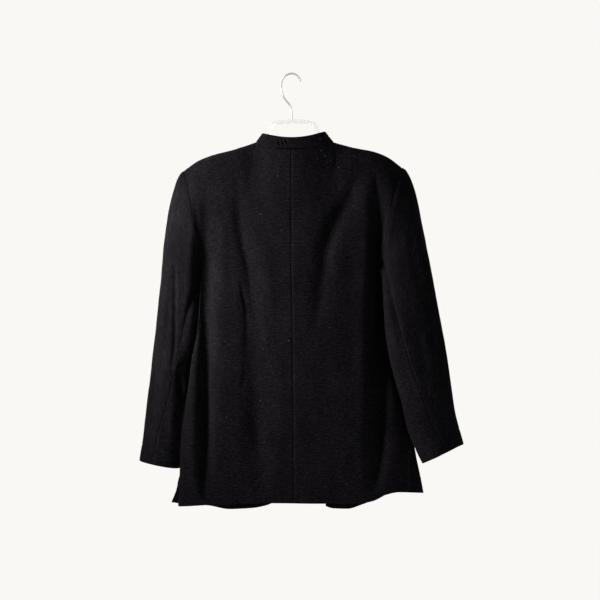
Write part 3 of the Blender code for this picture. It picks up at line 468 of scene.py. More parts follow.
SLEEVE_FRONT_CREASES = {
    LEFT: (
        ((228, -560, 5, -0.3), (238, -600, 6, -2.4), (248, -630, 6, -0.4)),
        ((262, -600, 7, -0.3), (248, -640, 7, -2.8), (238, -664, 7, -0.5)),
        ((250, -420, 9, 0.1), (256, -520, 9, 1.8), (262, -600, 9, 0.3)),
        ((276, -640, 8, -0.2), (278, -720, 8, -1.6), (280, -790, 8, -0.2)),
        ((224, -240, 8, -0.3), (232, -290, 8, -1.6), (238, -340, 8, -0.2)),
    ),
    RIGHT: (
        ((-232, -540, 6, -0.3), (-246, -584, 6, -2.6), (-262, -612, 6, -0.4)),
        ((-284, -580, 7, -0.3), (-270, -626, 7, -2.4), (-256, -650, 7, -0.5)),
        ((-250, -400, 9, 0.1), (-264, -500, 9, 1.8), (-282, -610, 9, 0.3)),
        ((-290, -650, 8, -0.2), (-304, -720, 8, -1.7), (-318, -780, 8, -0.2)),
        ((-224, -236, 8, -0.3), (-232, -286, 8, -1.4), (-236, -336, 8, -0.2)),
    ),
}
COLLAR_CREASES = (
    ((26.6, -146, 1.4, -0.6), (26.2, -150, 1.6, -2.6), (25, -158, 1.6, -1.6)),
    ((18.8, -146, 1.4, -0.6), (17.8, -151, 1.6, -2.8), (15.2, -159, 1.6, -1.8)),
    ((11, -146, 1.4, -0.6), (10.6, -150, 1.6, -2.6), (10.2, -155, 1.6, -0.8)),
    ((22.6, -147, 1.9, 0.4), (22, -152, 2.1, 1.2), (20.4, -158, 1.9, 0.4)),
    ((14.8, -147, 1.9, 0.4), (14.2, -152, 2.1, 1.2), (12.8, -157, 1.9, 0.4)),
    ((-18, -148, 2, -0.4), (-25, -145, 2, -1.2), (-32, -141.5, 2, -0.3)),
    ((36, -140, 3, -0.2), (38, -147, 3, -0.7), (37, -154, 3, -0.2)),
)

# Buttons' profiles, as shares of the radius and of the thickness, and their holes and stitches
BUTTON_SIDE = (
    (0.86, 0.0), (0.94, 0.09), (0.985, 0.22), (1.0, 0.4), (1.0, 0.62), (0.985, 0.8), (0.95, 0.93),
)
BUTTON_FACE = ((0.9, 1.0), (0.84, 0.985), (0.78, 0.91), (0.72, 0.83), (0.6, 0.79), (0.0, 0.77))
BUTTON_CORNERS_FINE = 72
HOLE_OUT = 1.9
HOLE_RADIUS = 0.95
HOLE_SOFT = 0.09
HOLE_DEEP = 2.2
THREAD_RADIUS = 0.24
# Thread far darker than the cloth, laid in the neck seam at the back as a painted shadow line under the
# collar: where it starts as a turn round the neck, how far it stands out from the middle of the cloth,
# and its radius
NECK_SHADOW_THREAD_STARTS = ((LEFT, 0.735), (RIGHT, 0.79))
NECK_SHADOW_THREAD_OUT, NECK_SHADOW_THREAD_RADIUS = 1.35, 0.75
# Overcast stitches under each arm, where the side seam meets the armhole: x, y, z
UNDERARMS = ((198.0, 4.0, -416.6), (-191.6, 2.0, -416.6))
TACK_RADIUS, TACK_STEP, TACK_STITCHES, TACK_REACH = 0.5, 0.8, 7, 2.6
# Threads between a button's holes: spread, rise, depth in the holes, and rise of the upper pair
THREAD_SPREAD, THREAD_RISE, THREAD_SINK, THREAD_OVER = 1.7, 1.15, 0.75, 0.3
DIAGONAL = 0.7
# Buttonholes: ends, step, rise and arch of the stitches, half width of the slit, length of a stitch
HOLE_START, HOLE_END = 3.0, 21.5
STITCH_STEP = 0.58
STITCH_RISE, STITCH_ARCH = 0.12, 0.16
SLIT_HALF, STITCH_LONG = 0.25, 1.7
# Stitches across a buttonhole's end: width in all, step, rise, half length
END_WIDE, END_STEP, END_RISE, END_HALF = 1.6, 0.4, 0.35, 2.4

# Lint that the photograph shows: piece, x, z, size. Then fields of a few more: piece, low, high, count
LINT = (
    ("sleeve_upper_left_cloth", 227, -437, 1.5),
    ("back_left_cloth", 6, -569, 1.3),
    ("back_left_cloth", 28, -223, 0.9),
    ("back_right_cloth", -133, -179, 1.2),
    ("back_right_cloth", -62, -168, 0.9),
    ("back_right_cloth", -70, -180, 1.2),
    ("back_right_cloth", -81, -189, 1.0),
    ("back_right_cloth", -50, -175, 0.7),
    ("collar_cloth", -60, -142, 0.9),
    ("back_left_cloth", 70, -740, 0.8),
)
LINT_FIELDS = (
    ("back_left_cloth", (20, -880), (170, -220), 7),
    ("back_right_cloth", (-150, -880), (-15, -200), 6),
    ("back_right_cloth", (-110, -215), (-45, -172), 5),
    ("front_left_cloth", (10, -880), (150, -300), 5),
    ("front_right_cloth", (-150, -880), (-30, -300), 5),
    ("sleeve_upper_left_cloth", (232, -760), (280, -300), 3),
    ("sleeve_upper_right_cloth", (-290, -700), (-240, -300), 3),
)
LINT_RADIUS = 0.11
LINT_SEED = 7
# Scattered flecks' sizes, then the fibres of a fleck: how many at least and for each step of size,
# greatest bend, heights off the cloth, steps, turn and length of a step, and waver
LINT_SIZES = (0.3, 0.75)
LINT_FIBRES = (3, 4)
LINT_BEND, LINT_HEIGHTS = 2.5, (0.15, 0.5)
LINT_STEPS, LINT_TURN, LINT_STEP, LINT_WAVER = 5, 0.3, 0.45, (-0.06, 0.1)

# Finish of the cloth
CLOTH_COLOUR = (0.0116, 0.0102, 0.0124)
CLOTH_SHEEN = 0.012
CLOTH_SHEEN_TINT = (0.9, 0.84, 0.95, 1.0)
CLOTH_BUMP, CLOTH_BUMP_DEEP = 0.6, 0.0004
FLECK_SCALE = 160.0
FLECK_SIZE = 0.045
FLECK_COLOUR = (0.075, 0.07, 0.075)
NAP_RELIEF = 2.5
# Noises of the cloth in metres across and down, each with its detail and roughness, and the least
# and greatest tone that it gives
SLUB = ((0.014, 0.0019), 3.0, 0.6), (0.36, 1.64)
PEBBLE = ((0.0024, 0.0017), 2.0, 0.65), (0.3, 1.8)
NAP = ((0.0062, 0.0042), 3.0, 0.7), (0.4, 1.65)
WEAR = ((0.05, 0.05, 0.08), 3.0, 0.6), (0.75, 1.25)
THREADS = (0.0009, 0.00045), 2.0, 0.6

# The plain materials: size, detail and roughness of the noise in their colour, its two colours, a
# finer noise for the relief, bump as strength and distance, the noise and range of their shine, and
# what the shader takes as it is
MATERIALS = {
    "black thread": dict(
        size=(0.0004, 0.0004, 0.0002), low=(0.006, 0.006, 0.007), high=(0.03, 0.028, 0.03),
        bump=(0.4, 0.0001), Roughness=0.5, Specular_IOR_Level=0.3),
    # near-black thread, far darker than the cloth: painted shade for the shadow line in the neck seam
    "painted shadow thread": dict(
        size=(0.0008, 0.0004, 0.0004), low=(0.0008, 0.0008, 0.001), high=(0.0035, 0.0032, 0.0035),
        Roughness=0.95, Specular_IOR_Level=0.0),
    "dark horn": dict(
        size=(0.006, 0.006, 0.0025), detail=4.0, roughness=0.6, low=(0.009, 0.008, 0.008),
        high=(0.032, 0.027, 0.024), relief=((0.0006, 0.0006, 0.0006),), bump=(0.12, 0.0001),
        shine=("tone", 0.24, 0.4), Specular_IOR_Level=0.45),
    "clear plastic": dict(
        size=(0.004, 0.004, 0.012), detail=3.0, low=(0.90, 0.885, 0.86), high=(0.97, 0.96, 0.94),
        bump=(0.08, 0.0003), shine=("tone", 0.04, 0.14), Transmission_Weight=0.9, IOR=1.49),
    "bright steel": dict(
        size=(0.01, 0.01, 0.01), detail=3.0, low=(0.42, 0.41, 0.39), high=(0.66, 0.65, 0.63),
        relief=((0.0006, 0.0006, 0.004), 3.0), bump=(0.1, 0.0001), shine=("relief", 0.16, 0.34),
        Metallic=1.0),
    "lint": dict(
        size=(0.03, 0.03, 0.03), low=(0.15, 0.145, 0.155), high=(0.32, 0.31, 0.30), Roughness=0.9,
        Sheen_Weight=0.3),
    "pale floor": dict(
        size=(0.2, 0.2, 0.2), detail=4.0, low=(0.93, 0.92, 0.90), high=(0.96, 0.95, 0.93),
        Roughness=0.85),
}

# Photograph's view: a pixel at the hook's depth, the camera's place and the frame
PIXEL = 2.147
IMAGE_PIXELS = 600
SENSOR = 36.0
CAMERA_AWAY = 2400.0
CAMERA_X, CAMERA_Z = -18.25, -484.0

# Studio: floor, surroundings and lights as name, place, aim, size, energy, colour, in metres
FLOOR_Z = -1700.0
FLOOR_RADIUS = 1600.0
FLOOR_CORNERS = 96
WALL_COLOUR = (0.955, 0.938, 0.905)
ROOM_COLOUR = (0.025, 0.0245, 0.024)
LIGHTS = (
    ("key", (1.05, 0.45, -0.12), (0.18, 0.0, -0.40), 0.5, 62, 3.2, (1.0, 0.985, 0.97)),
    ("fill", (-1.8, 2.4, 0.2), (0.0, 0.0, -0.3), 1.6, 180, 6.0, (0.93, 0.96, 1.0)),
    ("front", (1.0, -2.0, 0.9), (0.0, 0.0, -0.6), 1.2, 180, 60.0, (1.0, 0.99, 0.97)),
)


def ease(t):
    """Share that leaves 0 and reaches 1 level."""
    return t * t * (3 - 2 * t)


def cubic(start, low, high, end, t):
    """Point of a cubic curve."""
    return start * (1 - t) ** 3 + 3 * low * t * (1 - t) ** 2 + 3 * high * t * t * (1 - t) + end * t ** 3


def follow(rows, column, at):
    """Smooth curve through one column of a table, which never overshoots between its rows."""
    table = np.array(sorted(rows), float)
    xs, ys = table[:, 0], table[:, column]
    steps, rises = np.diff(xs), np.diff(ys)
    slopes = rises / steps
    before, after = slopes[:-1], slopes[1:]
    same_way = before * after > 0
    inner = np.where(same_way, 2 * before * after / np.where(same_way, before + after, 1.0), 0.0)
    tangents = np.concatenate([slopes[:1], inner, slopes[-1:]])
    at = np.clip(at, xs[0], xs[-1])
    index = np.clip(np.searchsorted(xs, at) - 1, 0, len(steps) - 1)
    step = steps[index]
    t = (at - xs[index]) / step
    bend = t * (1 - t) * step * ((1 - t) * tangents[index] - t * tangents[index + 1])
    return ys[index] + (ys[index + 1] - ys[index]) * ease(t) + bend


def unit(vectors):
    """Vectors at length 1."""
    return vectors / np.maximum(np.linalg.norm(vectors, axis=-1, keepdims=True), 1e-9)


def trough_depth(troughs, x, z):
    """How deep the troughs of a panel are at these places."""
    depth = np.zeros_like(x)
    for rows in troughs.values():
        middle, half, deep = (follow(rows, column, z) for column in (1, 2, 3))
        inside = (z >= min(rows)[0]) & (z <= max(rows)[0])
        depth += np.where(inside, deep, 0.0) * np.exp(-(((x - middle) / half) ** 2))
    return depth


def body_ring(side, face, angle, z, flap=0.0):
    """Point of the body's section at a level. The angle runs from 0 at the centre to 90 degrees."""
    column = SIDE_COLUMN[side]
    width = follow(BODY_WIDTH, column, z)
    if face == FRONT:
        width = np.where(z < VENT_TOP_Z, follow(FLAP_WIDTH, column, z), width)
    depth = follow(BODY_DEPTH, FACE_COLUMN[face], z)
    seam_y = follow(SIDE_DEPTH, column, z) + VENT_SPREAD[face] * flap
    x = follow(BODY_DEPTH, 3, z) + side * width * np.sin(angle)
    out = np.maximum(np.cos(angle), 0.0) ** SQUARENESS[face][side]
    return x, seam_y + (face * depth - seam_y) * out


def lap_shift(side, x):
    """Lifts the left front off the right one where they lap."""
    return -side * LAP_STEP / (1 + np.exp((side * x - FRONT_LAP - LAP_FADE) / (LAP_FADE / 4)))


def neck_start(side):
    """x of the neck point."""
    return SHOULDER[0][SHOULDER_X_Z[side][0]]


def neck_line(side, face, turn):
    """Neck seam from the neck point, at turn 0, to the centre, at turn 1."""
    angle = turn * math.pi / 2
    x = neck_start(side) * np.cos(angle)
    if face == BACK:
        return x, NECK_BACK_DEPTH * np.sin(angle), NECK_POINT_Z - NECK_BACK_DROP * np.sin(angle)
    y = -NECK_FRONT_DEPTH * np.sin(angle) + lap_shift(side, x) * np.sin(angle)
    return x, y, NECK_POINT_Z - NECK_FRONT_DROP * np.sin(angle)


def top_edge(side, face, share):
    """Shoulder and neck seams along a panel's top, from the armhole to the centre."""
    out = np.clip(1 - share / NECK_SHARE, 0, 1)
    x, z = (follow(SHOULDER, column, out) for column in SHOULDER_X_Z[side])
    centre = 1.0 if face == BACK else CENTRE_SHARE
    turn = np.clip((share - NECK_SHARE) / (centre - NECK_SHARE), 0, 1)
    if face == FRONT:
        lap = math.asin(FRONT_LAP / abs(neck_start(side))) / (math.pi / 2)
        turn = turn + np.clip((share - centre) / (1 - centre), 0, 1) * lap
    pairs = zip(neck_line(side, face, turn), (x, np.zeros_like(x), z))
    return tuple(np.where(share > NECK_SHARE, neck, shoulder) for neck, shoulder in pairs)


def arm_curve(side, face, rise):
    """Armhole from the underarm, at rise 0, to the shoulder point, at rise 1."""
    foot_y = follow(SIDE_DEPTH, SIDE_COLUMN[side], UNDERARM_Z)
    foot = np.array([SLEEVE_RINGS[side][0][2], foot_y, UNDERARM_Z])
    head_x, head_z = (SHOULDER[-1][column] for column in SHOULDER_X_Z[side])
    low, high = np.array(ARMHOLE[(side, face)])
    return cubic(foot, low, high, np.array([head_x, 0.0, head_z]), np.asarray(rise, float)[..., None])


def upper_panel(side, face, share, rise, low_x, low_y):
    """Panel above the underarm: each upright thread is a cubic curve up to the top edge."""
    top = np.stack(top_edge(side, face, share), -1)
    foot = np.stack([low_x, low_y, np.full_like(low_x, UNDERARM_Z)], -1)
    low_arm, high_arm = np.array(ARMHOLE[(side, face)])
    near_arm = np.clip(1 - share / ARM_REACH, 0, 1)[..., None] ** 2
    at_neck = ease(np.clip((share - NECK_REACH[0]) / (NECK_REACH[1] - NECK_REACH[0]), 0, 1))[..., None]
    full = face * follow(BODY_DEPTH, FACE_COLUMN[face], UNDERARM_Z)
    tall = top[..., 2:] - UNDERARM_Z
    low = foot + np.concatenate([0 * tall, CHEST_SWELL * full + 0 * tall, LOW_HANDLE * tall], -1)
    neck_y = NECK_BLEND[0] * full + NECK_BLEND[1] * top[..., 1:2]
    high_y = full * SHOULDER_BLEND * (1 - at_neck) + neck_y * at_neck
    high_z = top[..., 2:] - SHOULDER_DROP * (1 - at_neck) - NECK_HANDLE * tall * at_neck
    high_x = top[..., :1] + (foot[..., :1] - top[..., :1]) * HIGH_LEAN
    high = np.concatenate([high_x, high_y, high_z], -1)
    low = low * (1 - near_arm) + low_arm * near_arm
    high = high * (1 - near_arm) + high_arm * near_arm
    curve = cubic(foot, low, high, top, rise[..., None])
    return np.where((share == 0)[..., None], arm_curve(side, face, rise), curve)


def column_angle(side, face, share, z):
    """Angle of a panel's columns in the section: the fronts' last column is their edge."""
    if face == BACK:
        return (1 - share) * math.pi / 2
    edge = follow(FRONT_EDGE, SIDE_COLUMN[side], z) - follow(BODY_DEPTH, 3, z)
    width = follow(BODY_WIDTH, SIDE_COLUMN[side], z)
    return math.pi / 2 + (np.arcsin(side * edge / width) - math.pi / 2) * share


def arm_normal(side, points):
    """Direction across the wall at the armhole, which the body and the sleeve share."""
    centre_z = UNDERARM_Z + ARMHOLE_HALF_HEIGHT
    y = points[..., 1] / ARMHOLE_HALF_DEPTH ** 2
    z = (points[..., 2] - centre_z) / ARMHOLE_HALF_HEIGHT ** 2
    flat = unit(np.stack([0 * y, y, z], -1))
    flat[..., 0] = side * SHOULDER_TILT * np.clip(flat[..., 2], 0, 1)
    return unit(flat)


def grid_normals(points):
    """Normals of a grid of points from its two directions."""
    return unit(np.cross(np.gradient(points, axis=0), np.gradient(points, axis=1)))


def rounded(value):
    """Sine or cosine as a sleeve's section has it, a little squarer than an oval."""
    return np.sign(value) * np.abs(value) ** SLEEVE_SQUARENESS


def sleeve_trough(side, angle, level):
    """How deep the troughs of a sleeve are at these angles."""
    depth = np.zeros_like(angle)
    for middle, half, at, wide, deep in SLEEVE_TROUGHS[side]:
        away = (angle - at + 180) % 360 - 180
        depth += deep * np.exp(-(((level - middle) / half) ** 2) - (away / wide) ** 2)
    return depth


def smooth_path(points, steps):
    """Smooth curve through points, with equal steps between each pair."""
    knots = np.array(points, float)
    padded = np.concatenate([[2 * knots[0] - knots[1]], knots, [2 * knots[-1] - knots[-2]]])
    path = []
    for a, b, c, d in zip(padded, padded[1:], padded[2:], padded[3:]):
        for t in np.arange(steps) / steps:
            bend = (2 * a - 5 * b + 4 * c - d) * t * t + (3 * b - a - 3 * c + d) * t ** 3
            path.append(0.5 * (2 * b + (c - a) * t + bend))
    path.append(knots[-1])
    return np.array(path)


def creases_at(creases, x, z):
    """Height that the listed creases give at these places: each is a smooth path of rows of x, z, half
    width and height, and a trough has a height below zero."""
    lift = np.zeros_like(x)
    for rows in creases:
        path = smooth_path(rows, CREASE_STEPS)
        reach = CREASE_REACH * path[:, 2].max()
        low, high = path[:, :2].min(0) - reach, path[:, :2].max(0) + reach
        near = (x > low[0]) & (x < high[0]) & (z > low[1]) & (z < high[1])
        near_x, near_z = x[near], z[near]
        closest = np.full(near_x.shape, CREASE_REACH)
        height = np.zeros_like(near_x)
        for start, end in zip(path, path[1:]):
            run = end[:2] - start[:2]
            along = ((near_x - start[0]) * run[0] + (near_z - start[1]) * run[1]) / (run @ run)
            along = np.clip(along, 0, 1)
            gap = np.hypot(near_x - start[0] - along * run[0], near_z - start[1] - along * run[1])
            gap /= start[2] + (end[2] - start[2]) * along
            closer = gap < closest
            closest = np.where(closer, gap, closest)
            height = np.where(closer, start[3] + (end[3] - start[3]) * along, height)
        lift[near] += height * np.exp(-closest ** 2)
    return lift


def soft_noise(across, down, wide, tall, seed):
    """Smooth noise from -1 to 1 with bumps of about these sizes."""
    rng = np.random.default_rng(seed)
    lattice = rng.uniform(-1, 1, (NOISE_CELLS, NOISE_CELLS))
    u, v = across / wide + NOISE_CELLS, down / tall + NOISE_CELLS
    column, row = np.floor(u).astype(int), np.floor(v).astype(int)
    s, t = u - column, v - row
    s, t = ease(s), ease(t)
    corners = [lattice[(row + dy) % NOISE_CELLS, (column + dx) % NOISE_CELLS]
               for dy in (0, 1) for dx in (0, 1)]
    low = corners[0] * (1 - s) + corners[1] * s
    high = corners[2] * (1 - s) + corners[3] * s
    return low * (1 - t) + high * t


class Panel:
    """Grid of middle points of a piece of cloth, with the ways its edges are finished."""

    def __init__(self, node, points, normals):
        self.node, self.name = node, f"{node}_cloth"
        self.points, self.normals = points, normals
        self.across, self.down = lengths(points, 1), lengths(points, 0)
        # Distance of each point from each border of the grid
        self.away = {"left": self.across, "right": self.across[:, -1:] - self.across,
                     "low": self.down, "high": self.down[-1:] - self.down}
        self.lift = np.zeros(points.shape[:2])
        self.groove = np.zeros(points.shape[:2])
        self.half = np.full(points.shape[:2], CLOTH / 2)

    def waver(self, border, size, seed):
        """Noise that changes along a border."""
        along = self.down if border in ("left", "right") else self.across
        return soft_noise(along, along * 0, size, 1.0, seed)

    def seam(self, border, ways=None, where=1.0, pucker=0.0, seed=1):
        """Draws a border in to a seam, where it shares its neighbour's direction."""
        away = self.away[border]
        if ways is not None:
            share = (where * np.exp(-(away / SEAM_TURN) ** 2))[..., None]
            self.normals = unit(self.normals * (1 - share) + ways * share)
        self.groove += where * SEAM_DEPTH * np.exp(-(away / SEAM_WIDTH) ** 2)
        ring = np.exp(-(((away - PUCKER_WIDTH) / PUCKER_WIDTH) ** 2))
        self.lift += where * pucker * self.waver(border, PUCKER_LENGTH, seed) * ring

    def press(self, border, where=1.0):
        """Presses the neck seam's border in at the middle of the back."""
        depth = NECK_PRESS * np.exp(-((self.points[..., 0] - NECK_PRESS_X) / NECK_PRESS_REACH) ** 2)
        self.groove += where * depth * np.exp(-(self.away[border] / SEAM_WIDTH) ** 2)

    def fold(self, border, where=1.0):
        """Rounds a free border as cloth that is turned in."""
        out = where * np.clip(1 - self.away[border] / FOLD_ROUND, 0, 1)
        self.half *= np.sqrt(np.maximum(1 - out ** 2, FOLD_EDGE))

    def imprint(self, border, allowance, depth):
        """Step where the turned-in allowance ends behind the cloth."""
        away = self.away[border] + 2.0 * self.waver(border, IMPRINT_WAVE, IMPRINT_SEED)
        self.lift -= depth * np.exp(-((away - allowance) / IMPRINT_WIDTH) ** 2)
        self.lift += depth * 0.5 / (1 + np.exp((away - allowance) / IMPRINT_WIDTH))

    def still(self, border, reach, where=1.0):
        """Keeps folds off a border, so that neighbours meet there."""
        self.lift *= 1 - where * np.exp(-(self.away[border] / reach) ** 2)

    def build(self, cloth, flip):
        """Closed thin shell round the middle points in its node's place, in the given cloth material,
        with its grain as a UV map in metres."""
        outer = self.points + self.normals * (self.lift + self.half - self.groove)[..., None]
        inner = self.points + self.normals * (self.lift - self.half)[..., None]
        order = slice(None, None, -1) if flip else slice(None)
        outer, inner = outer[:, order], inner[:, order]
        grain = np.stack([self.across, self.down], -1)[:, order].reshape(-1, 2) * MM
        rows, columns = outer.shape[:2]
        count = rows * columns
        a = (np.arange(rows - 1)[:, None] * columns + np.arange(columns - 1)).reshape(-1)
        b, c, d = a + 1, a + columns + 1, a + columns
        ring = np.concatenate([
            np.arange(columns),
            np.arange(1, rows) * columns + columns - 1,
            (rows - 1) * columns + np.arange(columns - 2, -1, -1),
            np.arange(rows - 2, 0, -1) * columns,
        ])
        after = np.roll(ring, -1)
        faces = np.concatenate([
            np.stack([a, d, c, b], -1),
            np.stack([a, b, c, d], -1) + count,
            np.stack([ring, after, after + count, ring + count], -1),
        ])
        vertices = np.concatenate([outer.reshape(-1, 3), inner.reshape(-1, 3)]) * MM
        thing = add_mesh(self.name, vertices, faces.tolist(), cloth, self.node)
        layer = thing.data.uv_layers.new(name="grain")
        corners = np.empty(len(thing.data.loops), np.int32)
        thing.data.loops.foreach_get("vertex_index", corners)
        layer.data.foreach_set("uv", np.concatenate([grain, grain])[corners].reshape(-1))
        return self


def lengths(points, axis):
    """Distance along a grid from its first row or column."""
    steps = np.linalg.norm(np.diff(points, axis=axis), axis=-1)
    start = np.zeros_like(np.take(steps, [0], axis))
    return np.concatenate([start, np.cumsum(steps, axis)], axis)


def link(name, data):
    """Adds an object to the scene."""
    thing = bpy.data.objects.new(name, data)
    bpy.context.scene.collection.objects.link(thing)
    return thing


def add_mesh(name, vertices, faces, material, node=None):
    """Adds a smooth-shaded piece that rides on the one body, in the place of a CAD node if any."""
    mesh = bpy.data.meshes.new(name)
    mesh.from_pydata([tuple(vertex) for vertex in np.asarray(vertices, float).tolist()], [], faces)
    mesh.shade_smooth()
    mesh.materials.append(material)
    thing = link(name, mesh)
    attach(thing, "root")
    if node:
        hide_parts(node)
    return thing


def even(*stops):
    """Values from stop to stop, each stretch with its own count of steps: value, count, value..."""
    values = [np.array([stops[0]])]
    for start, count, end in zip(stops[:-2:2], stops[1::2], stops[2::2]):
        values.append(np.linspace(start, end, count + 1)[1:])
    return np.concatenate(values)


def body_points(side, face):
    """Middle surface of a body panel, rows from the hem to the top and columns from the side."""
    hem_steps, side_steps, top_steps = PANEL_STEPS[face]
    hem_rows = np.concatenate([EDGE_ROWS, even(EDGE_ROWS[-1], hem_steps, 1.0)[1:]])[:, None]
    side_rows = even(0.0, side_steps, 1.0)[1:, None]
    top_rows = even(0.0, top_steps, 1.0)[1:, None]
    columns = even(*PANEL_COLUMNS[face])
    share = columns[None, :]
    low = np.full_like(share, HEM_LEVEL)
    flat_x, _ = body_ring(side, face, column_angle(side, face, share, low), low)
    hem_z = follow(HEMS[face], 1, flat_x)
    low_z = hem_z + (VENT_TOP_Z - hem_z) * hem_rows
    side_z = VENT_TOP_Z + (UNDERARM_Z - VENT_TOP_Z) * side_rows + 0 * share
    z = np.concatenate([low_z, side_z])
    share = share + 0 * z
    flap = np.clip((VENT_TOP_Z - z) / (VENT_TOP_Z - HEM_LEVEL), 0, 1)
    x, y = body_ring(side, face, column_angle(side, face, share, z), z, flap)
    rise = top_rows + 0 * share[:1]
    upper = upper_panel(side, face, share[:1] + 0 * rise, rise, x[-1:] + 0 * rise, y[-1:] + 0 * rise)
    points = np.concatenate([np.stack([x, y, z], -1), upper])
    troughs = BACK_TROUGHS if face == BACK else FRONT_TROUGHS
    fade = np.clip(points[..., 1] * face / TROUGH_FADE[0], 0, 1)
    fade *= np.clip(columns[None, :] / TROUGH_FADE[1], 0, 1)
    fade[-1] = 0
    points[..., 1] -= face * fade * trough_depth(troughs, points[..., 0], points[..., 2])
    if face == FRONT:
        points[:-1, :, 1] += lap_shift(side, points[:-1, :, 0])
    vent_row = len(hem_rows) - 1
    arm_row = vent_row + len(side_rows)
    return points, vent_row, arm_row, int(np.argmin(np.abs(columns - NECK_SHARE)))


def edge_way(side, points, arm_row):
    """Direction across the cloth along a panel's side: level below, and round the arm above."""
    ways = np.tile(np.array([float(side), 0.0, 0.0]), (len(points), 1))
    ways[arm_row:] = arm_normal(side, points[arm_row:, 0])
    return ways[:, None]


def neck_way(places):
    """Direction across the cloth along the neck seam: outwards and a little up."""
    out = np.stack([places[..., 0] / NECK_WIDE ** 2, places[..., 1] / NECK_BACK_DEPTH ** 2], -1)
    out = unit(out)
    return unit(np.concatenate([out, np.full(out.shape[:-1] + (1,), NECK_RISE)], -1))


def top_way(side, points, neck):
    """Direction across the cloth along the shoulder and neck seams."""
    slope = unit(np.gradient(points[-1], axis=0))
    shoulder = unit(np.stack([np.abs(slope[:, 2]) * side, 0 * slope[:, 0], np.abs(slope[:, 0])], -1))
    past = np.arange(len(slope)) - neck + NECK_COLUMNS
    share = np.clip(past / NECK_COLUMNS, 0, 1)[:, None]
    return unit(shoulder * (1 - share) + neck_way(points[-1]) * share)[None]


def add_body_panel(side, face, cloth):
    """One back or front panel."""
    points, vent_row, arm_row, neck = body_points(side, face)
    normals = -side * face * grid_normals(points)
    panel = Panel(f"{FACE_NAMES[face]}_{SIDE_NAMES[side]}", points, normals)
    rows = np.arange(len(points))[:, None]
    sewn = np.clip((rows - vent_row) / VENT_ROWS, 0, 1)
    on_arm = np.clip((rows - arm_row) / ARM_ROWS, 0, 1)
    x, z = points[..., 0], points[..., 2]
    out = np.clip(face * normals[..., 1] * BODY_FACING, 0, 1)
    panel.lift += creases_at(BACK_CREASES if face == BACK else FRONT_CREASES, x, z) * out
    for height, wide, tall, seed in BODY_RUMPLES:
        panel.lift += height * soft_noise(x, z, wide, tall, seed + face) * out
    panel.still("left", CALM["body"], sewn)
    panel.still("high", CALM["body"])
    if face == FRONT:
        panel.still("right", CALM["front edge"])
    pucker = PUCKER["side"] + PUCKER["armhole"] * on_arm
    panel.seam("left", edge_way(side, points, arm_row), sewn, pucker, seed=21)
    panel.seam("high", top_way(side, points, neck), pucker=PUCKER["top"], seed=22)
    panel.fold("left", 1 - sewn)
    panel.fold("low")
    if face == BACK:
        panel.normals[:, -1, 0] = 0
        panel.normals = unit(panel.normals)
        top, way, least = CENTRE_SEAM_FADE
        shown = np.clip((top - z) / way, least, 1)
        panel.seam("right", panel.normals[:, -1:].copy(), shown, PUCKER["centre"], seed=23)
        panel.press("high")
    else:
        panel.fold("right")
        panel.imprint("right", *FRONT_EDGE_MARK)
    panel.imprint("low", *HEM_MARK)
    return panel.build(cloth, side * face > 0)


def sleeve_half(side, half):
    """Middle surface of half a sleeve, rows from the armhole to the cuff."""
    rings = [(float(index),) + ring for index, ring in enumerate(SLEEVE_RINGS[side])]
    last = len(rings) - 1
    rows = even(0.0, SLEEVE_STEPS, last - CUFF_EDGE_START)[:-1]
    at = np.concatenate([rows, last - EDGE_ROWS[::-1] * CUFF_EDGE_SCALE])[:, None]
    outer_x, outer_z, inner_x, inner_z, middle_y, deep = (follow(rings, c + 1, at) for c in range(6))
    split = 1 - SLEEVE_SPLIT_RISE
    if half == "upper":
        place = even(-split, UPPER_COLUMNS, split)
    else:
        place = even(split, UNDER_COLUMNS, 2 - split)
    wrapped = np.where(place > 1, place - 2, place)
    rise = 1 - np.abs(wrapped)
    first = np.where(wrapped[:, None] >= 0, arm_curve(side, BACK, rise), arm_curve(side, FRONT, rise))
    around = (place - place[0]) / (place[-1] - place[0])
    ends = SLEEVE_RINGS[side][0]
    axis = np.array([ends[0] - ends[2], ends[1] - ends[3]])
    from_x, from_z = first[:, 0] - ends[2], first[:, 2] - ends[3]
    reach = (from_x * axis[0] + from_z * axis[1]) / (axis @ axis)
    across = np.array([axis[1], -axis[0]]) / np.linalg.norm(axis)
    aside = from_x * across[0] + from_z * across[1]
    down = at / last
    back_seam, front_seam = (follow(SLEEVE_SEAMS[side], column, down) for column in (1, 2))
    if half == "upper":
        angle = front_seam - 360 + (back_seam - front_seam + 360) * around
    else:
        angle = back_seam + (front_seam - back_seam) * around
    fan = ease(np.clip(at / FAN_RINGS, 0, 1))
    turn = np.radians(angle)
    dent = sleeve_trough(side, angle, (outer_z + inner_z) / 2) * fan ** 8
    oval_reach = 0.5 + 0.5 * rounded(np.cos(turn))
    oval_y = middle_y + (deep - dent) * rounded(np.sin(turn))
    along = reach + (oval_reach - reach) * fan
    line_x, line_z = outer_x - inner_x, outer_z - inner_z
    long = np.hypot(line_x, line_z)
    x = inner_x + line_x * along + line_z / long * aside * (1 - fan)
    z = inner_z + line_z * along - line_x / long * aside * (1 - fan)
    z = z + CUFF_LEAN[side] * np.clip((down - 1) / LEAN_SHARE + 1, 0, 1) * np.sin(turn)
    y = first[:, 1] + (oval_y - first[:, 1]) * fan
    return np.stack([x, y, z], -1)


